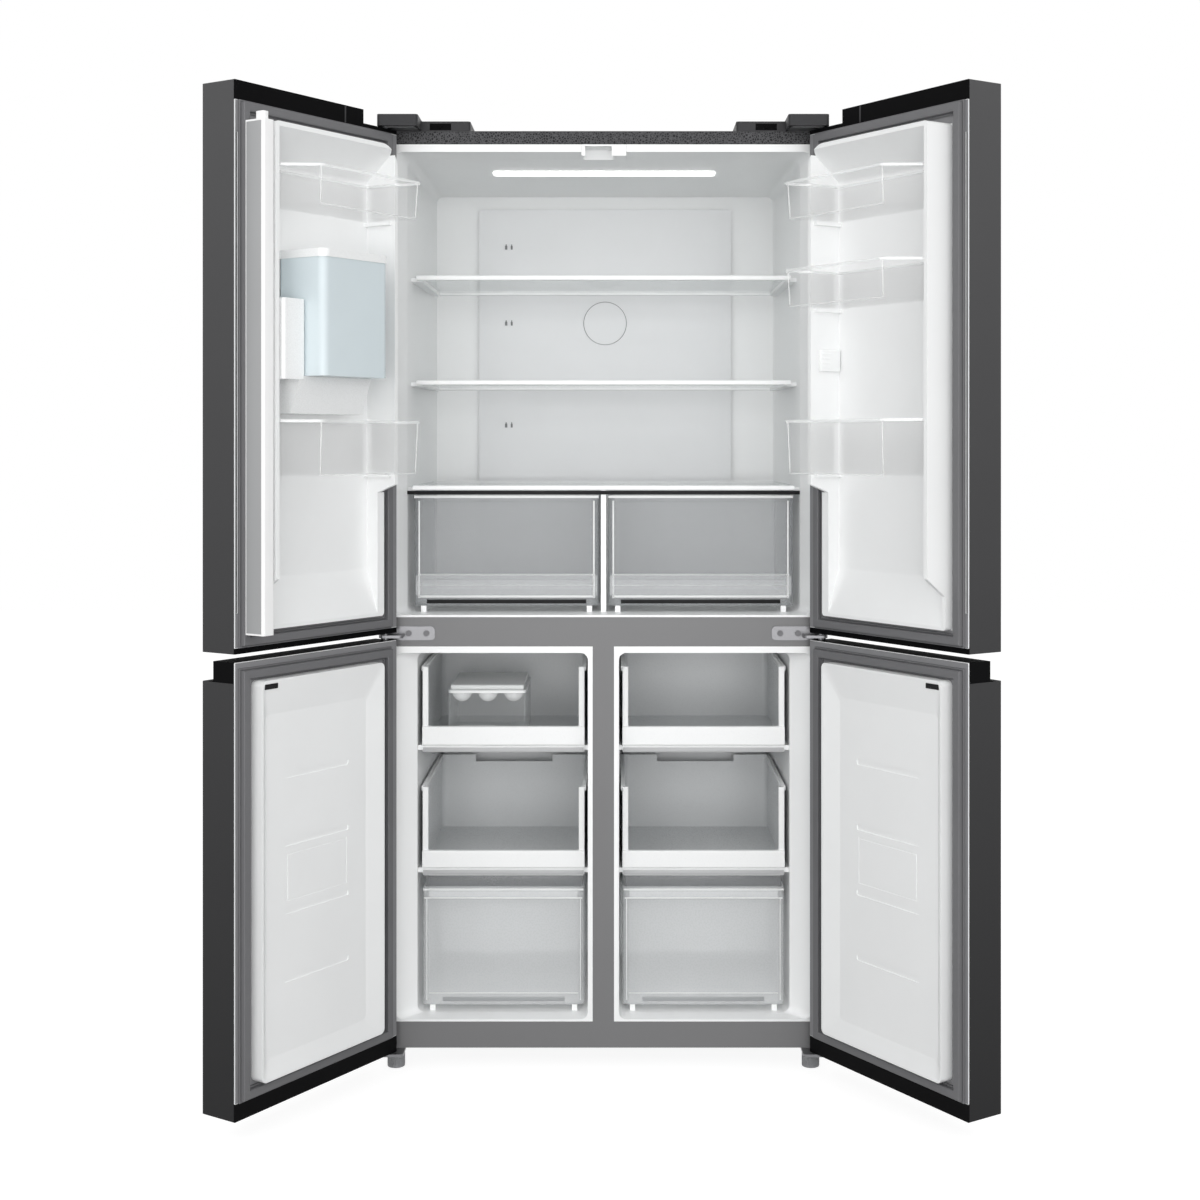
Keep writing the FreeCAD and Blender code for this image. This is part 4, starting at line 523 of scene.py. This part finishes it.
def doorBin(name, side):
    lo, hi = shutBox(name, side)
    front = hi.y - binLook["lip"]
    back = lo.x + binLook["flare"]
    shoulder, slantFrom = binLook["shoulder"], binLook["slantFrom"]
    slantEnd = hi.x - binLook["slant"]
    corner, rim, rimWall = binLook["corner"], binLook["rim"], binLook["rimWall"]
    outline = [(back, lo.y), (hi.x, lo.y), (hi.x, slantFrom), (slantEnd, front), (lo.x, front),
               (lo.x, shoulder + binLook["flare"]), (back, shoulder)]
    middle = (lo.x + hi.x) / 2

    def tapered(bm):
        for v in bm.verts:
            sink = (hi.z - v.co.z) / (hi.z - lo.z) * binLook["draft"]
            v.co.x += (middle - v.co.x) / (hi.x - lo.x) * 2 * sink
            v.co.y -= (v.co.y - lo.y) / (front - lo.y) * 2 * sink

    bm = bmesh.new()
    trayOf(bm, outline, lo.z, hi.z, binLook["wall"], corner, binLook["floorRound"])
    tapered(bm)
    hang(bm, side)
    piece(name + "_tray", bm, "binClear", name, [name], sharp=25)
    bm = bmesh.new()
    face = bm.faces.new([bm.verts.new((x, y, hi.z - rim)) for x, y in outline])
    ring = bmesh.ops.inset_region(bm, faces=[face], thickness=rimWall, use_boundary=True,
                                  use_even_offset=True)["faces"]
    bmesh.ops.delete(bm, geom=[face], context="FACES")
    lifted(bm, ring, (0, 0, rim + binLook["rimProud"]))
    bmesh.ops.recalc_face_normals(bm, faces=bm.faces)
    rounded(bm, [e for e in bm.edges if upright(e)], corner - rimWall, segments=5)
    post, ends, postRound = binLook["post"], binLook["postEnds"], binLook["postRound"]
    half = post / 2
    for x, y in ((hi.x - post, slantFrom), (slantEnd, front - post), (lo.x + corner, front - post)):
        roundBox(bm, (x - half, y - half, lo.z + ends), (x + half, y + half, hi.z - ends), postRound)
    low, high = binLook["footLine"]
    roundBox(bm, (lo.x + corner, front - 2 * post, lo.z + low), (slantEnd, front - post, lo.z + high),
             postRound)
    tapered(bm)
    hang(bm, side)
    piece(name + "_rim", bm, "binRimAndHighlights", name)


for name in sorted(n for n in nodes if "_door_bin_" in n):
    doorBin(name, name.split("_")[0])
print("door bins made")

# Bright lips and ridges, partly painted highlight, and painted shade on the drawers' fronts: dark bands
# at the foot, a dark band in the pull and a grey strip under the open drawers' lips. A row is low, high,
# inset and depth behind the front, and ends are near, far, low, high and depth, all in mm from the
# drawer's corner.
drawerLook = {"proud": 0.4 * mm, "lipShadeRows": [(0.0, 8.5, 1.5, 0.0)],
              "rimWide": 5.0 * mm, "rimHigh": 9.0 * mm, "rimFront": 14.0 * mm, "rimProud": 0.2 * mm,
              "rimRound": 1.2 * mm, "flange": 3.0 * mm,
              "crisper": {"lines": [(15.2, 19.2, 8.0, 5.0), (38.0, 39.4, 8.0, 5.0),
                                    (57.4, 60.2, 8.0, 5.0), (205.0, 210.0, 1.0, 0.0)],
                          "grip": [(4.0, 11.6, 25.0, 5.0)], "gripFinish": "darkPartsAndShade",
                          "band": [(19.4, 57.2, 4.0, 5.0)], "bandFinish": "bandClear",
                          "ends": (9.0, 12.0, 14.0, 200.0, 5.0)},
              "freezer": {"lines": [(20.8, 22.4, 12.0, 14.0), (204.0, 206.4, 4.0, 0.0),
                                    (219.6, 223.0, 2.0, 0.0), (244.6, 248.0, 2.0, 14.0)],
                          "grip": [(6.0, 14.0, 38.0, 14.0)], "gripFinish": "gripGrey",
                          "band": [(224.0, 244.0, 6.0, 13.2)], "bandFinish": "pullShade",
                          "ends": (7.0, 8.6, 8.0, 200.0, 14.0)}}


def frontBars(name, rows, finish, label):
    lo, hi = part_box(name)
    proud = drawerLook["proud"]
    bm = bmesh.new()
    for low, high, inset, back in rows:
        y = lo.y + back * mm
        roundBox(bm, (lo.x + inset * mm, y - proud, lo.z + low * mm),
                 (hi.x - inset * mm, y + proud, min(lo.z + high * mm, hi.z)))
    piece("%s_%s" % (name, label), bm, finish, name)


# the end strips are partly painted highlight for the bright corners of the clear fronts
def frontEnds(name, near, far, low, high, back):
    lo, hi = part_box(name)
    y = lo.y + back * mm
    proud = drawerLook["proud"]
    bm = bmesh.new()
    for x0, x1 in ((lo.x + near * mm, lo.x + far * mm), (hi.x - far * mm, hi.x - near * mm)):
        roundBox(bm, (x0, y - proud, lo.z + low * mm), (x1, y + proud, lo.z + high * mm))
    piece(name + "_ends", bm, "whiteLinesAndHighlights", name)


def wallRims(name):
    lo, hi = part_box(name)
    wide, flange, proud = drawerLook["rimWide"], drawerLook["flange"], drawerLook["rimProud"]
    front, low = lo.y + drawerLook["rimFront"], hi.z - drawerLook["rimHigh"]
    bm = bmesh.new()
    for x0, x1 in ((lo.x - flange, lo.x + wide), (hi.x - wide, hi.x + flange)):
        roundBox(bm, (x0, front, low), (x1, hi.y - proud, hi.z + proud), drawerLook["rimRound"], 3)
    piece(name + "_rims", bm, "shelfWhite", name)


for side in ("left", "right"):
    for name, kind in (("crisper_" + side, "crisper"), ("freezer_drawer_lower_" + side, "freezer")):
        look = drawerLook[kind]
        frontBars(name, look["lines"], "whiteLinesAndHighlights", "lines")
        # painted shade: a dark band low on the front
        frontBars(name, look["grip"], look["gripFinish"], "grip")
        frontBars(name, look["band"], look["bandFinish"], "band")
        frontEnds(name, *look["ends"])
    for level in ("upper", "middle"):
        name = "freezer_drawer_%s_%s" % (level, side)
        # painted shade: a grey strip along the foot of the front bar, under its lip
        frontBars(name, drawerLook["lipShadeRows"], "paintedLipShade", "lip")
        wallRims(name)
print("drawer lips, rims and grips made")

# Ice maker: a clear bin, a plate of round cups, a lid and a scoop, whose bowl and handle are in mm
# from the bin's front left corner, the handle's far end from the right side
iceLook = {"wall": 2.0 * mm, "corner": 8.0 * mm, "floorRound": 4.0 * mm, "gap": 0.2 * mm,
           "plate": 3.2 * mm, "cup": 20.0 * mm, "cupRise": 0.5 * mm, "rows": 3, "columns": 4,
           "lid": 12.0 * mm, "lidPlate": 2.4 * mm, "lidInset": 4.0 * mm, "lidRound": 3.0 * mm,
           "scoopRise": 0.3 * mm, "bowl": ((12.0, 14.0, 0.0), (90.0, 60.0, 16.0)),
           "bowlRound": 7.0 * mm, "handle": ((80.0, 28.0, 4.0), (-12.0, 46.0, 13.0)),
           "handleRound": 4.0 * mm}


def icePiece(name, bm, finish, stands=()):
    piece(name, bm, finish, "ice_tray", stands)


def iceMaker():
    lo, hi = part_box("ice_tray")
    rim = hi.z - iceLook["lid"] - iceLook["plate"]
    top = rim + iceLook["plate"]
    corner = iceLook["corner"]
    bm = bmesh.new()
    trayOf(bm, boxOutline(lo, hi), lo.z, rim - iceLook["gap"], iceLook["wall"], corner,
           iceLook["floorRound"])
    icePiece("ice_bin", bm, "iceClear", ["ice_tray"])
    bm = bmesh.new()
    roundBox(bm, (lo.x, lo.y, rim), (hi.x, hi.y, top), corner, 4, upright)
    for row in range(iceLook["rows"]):
        for column in range(iceLook["columns"]):
            x = lo.x + (row + 0.5) * (hi.x - lo.x) / iceLook["rows"]
            y = lo.y + (column + 0.5) * (hi.y - lo.y) / iceLook["columns"]
            cup = bmesh.ops.create_uvsphere(bm, u_segments=20, v_segments=12,
                                            radius=iceLook["cup"])["verts"]
            bmesh.ops.delete(bm, geom=[v for v in cup if v.co.z > hair], context="VERTS")
            left = [v for v in cup if v.is_valid]
            bmesh.ops.translate(bm, verts=left, vec=(x, y, rim + iceLook["cupRise"]))
            mouth = {e for v in left for e in v.link_edges if e.is_boundary}
            bmesh.ops.contextual_create(bm, geom=list(mouth))
    icePiece("ice_cups", bm, "iceWhite")
    bm = bmesh.new()
    start = Vector((lo.x, lo.y, lo.z + iceLook["wall"] + iceLook["scoopRise"]))
    bowlLo, bowlHi = scaled(iceLook["bowl"])
    roundBox(bm, start + bowlLo, start + bowlHi, iceLook["bowlRound"], 4)
    handleLo, handleHi = scaled(iceLook["handle"])
    handleHi.x += hi.x - lo.x
    roundBox(bm, start + handleLo, start + handleHi, iceLook["handleRound"], 4)
    icePiece("ice_scoop", bm, "iceWhite")
    bm = bmesh.new()
    inset = iceLook["lidInset"]
    lidTop = top + iceLook["lidPlate"]
    roundBox(bm, (lo.x, lo.y, top), (hi.x, hi.y, lidTop), corner, 4, upright)
    roundBox(bm, (lo.x + inset, lo.y + inset, lidTop), (hi.x - inset, hi.y - inset, hi.z),
             iceLook["lidRound"], 4)
    icePiece("ice_lid", bm, "iceLid")


iceMaker()
print("ice maker made")

# Marks on the cold-air cover: a thin ring and a pair of small bottles by each compartment. A bottle's
# parts are low and high in mm, and the share of its width.
markLook = {"ringRadius": 46.5 * mm, "ringLine": 1.1 * mm, "ringHeight": 1429.5 * mm,
            "ringSteps": 72, "proud": 0.25 * mm, "heights": (1594.0 * mm, 1430.5 * mm, 1211.0 * mm),
            "bottles": ((-213.0 * mm, 5.0 * mm), (-201.0 * mm, 4.0 * mm)),
            "bottleParts": ((-5.5, 2.5, 1.0), (2.5, 5.5, 0.5)), "bottleRound": 0.4 * mm}


def runsBack(edge):
    return runsAlong(edge, 1)


def coverMarks():
    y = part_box("fridge_duct_cover")[0].y
    proud = markLook["proud"]
    bm = bmesh.new()
    bmesh.ops.create_circle(bm, cap_ends=True, segments=markLook["ringSteps"],
                            radius=markLook["ringRadius"])
    disc = bm.faces[:]
    bmesh.ops.inset_region(bm, faces=disc, thickness=markLook["ringLine"], use_boundary=True,
                           use_even_offset=True)
    bmesh.ops.delete(bm, geom=disc, context="FACES")
    lifted(bm, bm.faces[:], (0, 0, 2 * proud))
    bmesh.ops.recalc_face_normals(bm, faces=bm.faces)
    bmesh.ops.rotate(bm, verts=bm.verts, matrix=Matrix.Rotation(math.radians(90), 3, "X"))
    bmesh.ops.translate(bm, verts=bm.verts, vec=(0, y + proud, markLook["ringHeight"]))
    for z in markLook["heights"]:
        for x, wide in markLook["bottles"]:
            for low, high, share in markLook["bottleParts"]:
                half = wide * share / 2
                roundBox(bm, (x - half, y - proud, z + low * mm), (x + half, y + proud, z + high * mm),
                         markLook["bottleRound"], keep=runsBack)
    piece("cover_marks", bm, "markGrey", "cabinet")


coverMarks()

# Ribbed boss in the right upper door's liner, in mm
bossLook = {"box": ((-344.0, -19.0, 1301.0), (-337.0, 27.0, 1341.0)), "round": 2.0 * mm, "ribs": 4,
            "ribHalf": 1.2 * mm, "ribSink": 1.0 * mm, "ribRise": 1.5 * mm, "ribRound": 0.5 * mm,
            "ribEnds": (24.0 * mm, 4.0 * mm)}


def doorBoss():
    lo, hi = scaled(bossLook["box"])
    half = bossLook["ribHalf"]
    near, far = bossLook["ribEnds"]
    bm = bmesh.new()
    roundBox(bm, lo, hi, bossLook["round"], 3)
    for i in range(bossLook["ribs"]):
        z = lo.z + (i + 1) * (hi.z - lo.z) / (bossLook["ribs"] + 1)
        roundBox(bm, (hi.x - bossLook["ribSink"], lo.y + near, z - half),
                 (hi.x + bossLook["ribRise"], hi.y - far, z + half), bossLook["ribRound"])
    hang(bm, "right")
    piece("door_boss", bm, "doorWhite", "upper_right_door")


# Painted shade: a dark strip under the glass over the crispers, in mm
shadeBox = ((-386.0, 59.5, 1074.0), (386.0, 60.5, 1081.0))


def coverShade():
    bm = bmesh.new()
    roundBox(bm, *scaled(shadeBox))
    atFront(bm, "left")
    piece("cover_painted_shade", bm, "darkPartsAndShade", "cabinet")


# Dark clips at the tops of the freezer doors' panels, in mm
clipLook = {"box": ((-77.0, 12.6, 758.0), (-46.0, 14.4, 767.0)), "round": 0.6 * mm}


def panelClip(side):
    bm = bmesh.new()
    roundBox(bm, *scaled(clipLook["box"]), clipLook["round"])
    hang(bm, side)
    piece("panel_clip_" + side, bm, "darkPartsAndShade", "lower_%s_door" % side)


# Upright strips on the upper doors' top caps
stripLook = {"x": (-277.0 * mm, -273.0 * mm), "z": (1745.5 * mm, 1775.5 * mm), "proud": 0.4 * mm,
             "below": 1.0 * mm}


def capStrip(side):
    top = shutBox("upper_%s_door_caps" % side, side)[1]
    (x0, x1), (z0, z1) = stripLook["x"], stripLook["z"]
    bm = bmesh.new()
    roundBox(bm, (x0, top.y - stripLook["proud"], z0),
             (x1, top.y + stripLook["proud"], min(z1, top.z - stripLook["below"])))
    hang(bm, side)
    piece("cap_strip_" + side, bm, "coverGrey", "upper_%s_door" % side)


# Catches on the hinge covers: a plate, in mm, with a round knob
catchLook = {"box": ((-325.0, -0.4, 1757.5), (-285.0, 0.4, 1770.0)), "knobSteps": 24,
             "knobFoot": 4.2 * mm, "knobTop": 3.6 * mm, "knobHigh": 2.4 * mm, "knobProud": 1.0 * mm,
             "knobRound": 0.4 * mm}


def coverCatch(side):
    lo, hi = scaled(catchLook["box"])
    bm = bmesh.new()
    roundBox(bm, lo, hi)
    middle = (lo + hi) / 2
    place = Matrix.Translation((middle.x, lo.y - catchLook["knobProud"], middle.z))
    knob = bmesh.ops.create_cone(bm, cap_ends=True, segments=catchLook["knobSteps"],
                                 radius1=catchLook["knobFoot"], radius2=catchLook["knobTop"],
                                 depth=catchLook["knobHigh"],
                                 matrix=place @ Matrix.Rotation(math.radians(90), 4, "X"))["verts"]
    ends = {e for v in knob for e in v.link_edges
            if len(e.link_faces) == 2 and e.calc_face_angle(0) > 1}
    rounded(bm, ends, catchLook["knobRound"], segments=2)
    atFront(bm, side)
    piece("cover_catch_" + side, bm, "capBlack", "cabinet")


doorBoss()
coverShade()
for side in ("left", "right"):
    panelClip(side)
    capStrip(side)
    coverCatch(side)
print("marks and fittings made")

# Rear sheet with pressed fields
rearLook = {"fields": (2, 3), "border": 38.0 * mm, "pressed": 2.0 * mm, "sheet": 0.8 * mm,
            "round": 3.0 * mm, "fieldArea": 0.05}


def rearSheet():
    lo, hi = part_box("rear_panel")
    across, up = rearLook["fields"]
    bm = bmesh.new()
    bmesh.ops.create_grid(bm, x_segments=across, y_segments=up, size=0.5)
    bmesh.ops.scale(bm, verts=bm.verts, vec=(hi.x - lo.x, hi.z - lo.z, 1))
    bmesh.ops.rotate(bm, verts=bm.verts, matrix=Matrix.Rotation(math.radians(90), 3, "X"))
    bmesh.ops.reverse_faces(bm, faces=bm.faces)
    fields = bm.faces[:]
    bmesh.ops.inset_individual(bm, faces=fields, thickness=rearLook["border"], use_even_offset=True)
    rounded(bm, [e for f in fields for e in f.edges], rearLook["round"])
    flat = {v for f in bm.faces if f.calc_area() > rearLook["fieldArea"] for v in f.verts}
    bmesh.ops.translate(bm, verts=list(flat), vec=(0, -rearLook["pressed"], 0))
    bmesh.ops.solidify(bm, geom=bm.faces[:], thickness=rearLook["sheet"])
    bmesh.ops.recalc_face_normals(bm, faces=bm.faces)
    back = max(v.co.y for v in bm.verts)
    bmesh.ops.translate(bm, verts=bm.verts,
                        vec=((lo.x + hi.x) / 2, hi.y - back, (lo.z + hi.z) / 2))
    piece("rear_sheet", bm, "backSheet", "cabinet", ["rear_panel"])


rearSheet()
print("rear sheet made")

# Camera at the photograph's viewing angle
cameraLook = {"lens": 53.25, "sensor": 36.0, "side": 0.025, "distance": 3.323, "height": 1.171,
              "shift": (-0.0139, -0.1304)}
camera = bpy.data.objects.new("camera", bpy.data.cameras.new("camera"))
scene.collection.objects.link(camera)
camera.data.lens = cameraLook["lens"]
camera.data.sensor_width = cameraLook["sensor"]
camera.data.shift_x, camera.data.shift_y = cameraLook["shift"]
camera.location = (cameraLook["side"], frontY - cameraLook["distance"], cameraLook["height"])
camera.rotation_euler = (math.radians(90), 0, 0)
scene.camera = camera

# White studio; a lamp is its place, its target, its size and its power
studioLook = {"ambient": 0.63, "floorSize": 9.0, "floorGlow": 0.86, "floorShade": 0.3,
              "lamps": [((-2.0, -3.6, 3.0), (0.0, 0.0, 0.9), 2.6, 36.0),
                        ((2.2, -3.8, 2.6), (0.0, 0.0, 0.9), 2.6, 34.0),
                        ((0.0, -4.4, 0.6), (0.0, 0.0, 0.9), 3.0, 92.0),
                        ((0.0, 2.2, 3.2), (0.0, 0.3, 1.2), 2.4, 26.0)]}


def shownRay(tree):
    # 1 for what is seen, straight or in gloss and glass
    path = tree.nodes.new("ShaderNodeLightPath")
    total = path.outputs["Is Camera Ray"]
    for name in ("Is Glossy Ray", "Is Transmission Ray"):
        pair = tree.nodes.new("ShaderNodeMath")
        pair.operation = "MAXIMUM"
        tree.links.new(total, pair.inputs[0])
        tree.links.new(path.outputs[name], pair.inputs[1])
        total = pair.outputs["Value"]
    return total


world = bpy.data.worlds.new("studio")
scene.world = world
world.use_nodes = True
air = world.node_tree
background = air.nodes["Background"]
background.inputs["Color"].default_value = (1, 1, 1, 1)
airLight = air.nodes.new("ShaderNodeMapRange")
airLight.inputs["To Min"].default_value = studioLook["ambient"]
airLight.inputs["To Max"].default_value = 1.0
air.links.new(shownRay(air), airLight.inputs["Value"])
air.links.new(airLight.outputs["Result"], background.inputs["Strength"])
for spot, (place, target, size, power) in enumerate(studioLook["lamps"]):
    lamp = bpy.data.lights.new("softbox%d" % spot, "AREA")
    lamp.shape = "SQUARE"
    lamp.size = size
    lamp.energy = power
    box = bpy.data.objects.new("softbox%d" % spot, lamp)
    scene.collection.objects.link(box)
    box.location = place
    box.rotation_euler = (Vector(target) - Vector(place)).to_track_quat("-Z", "Y").to_euler()

floorMat = bpy.data.materials.new("studioFloor")
floorMat.use_nodes = True
ground = floorMat.node_tree
ground.nodes.remove(ground.nodes["Principled BSDF"])
matt = ground.nodes.new("ShaderNodeBsdfDiffuse")
matt.inputs["Color"].default_value = (studioLook["floorShade"],) * 3 + (1,)
glow = ground.nodes.new("ShaderNodeEmission")
strength = ground.nodes.new("ShaderNodeMath")
strength.operation = "MULTIPLY"
strength.inputs[1].default_value = studioLook["floorGlow"]
ground.links.new(shownRay(ground), strength.inputs[0])
ground.links.new(strength.outputs["Value"], glow.inputs["Strength"])
both = ground.nodes.new("ShaderNodeAddShader")
ground.links.new(matt.outputs["BSDF"], both.inputs[0])
ground.links.new(glow.outputs["Emission"], both.inputs[1])
ground.links.new(both.outputs["Shader"], ground.nodes["Material Output"].inputs["Surface"])
bm = bmesh.new()
bmesh.ops.create_grid(bm, x_segments=1, y_segments=1, size=studioLook["floorSize"])
floor = meshObject("floor", bm, floorMat)
print("camera, lamps and floor set")

scene.view_settings.view_transform = "Standard"
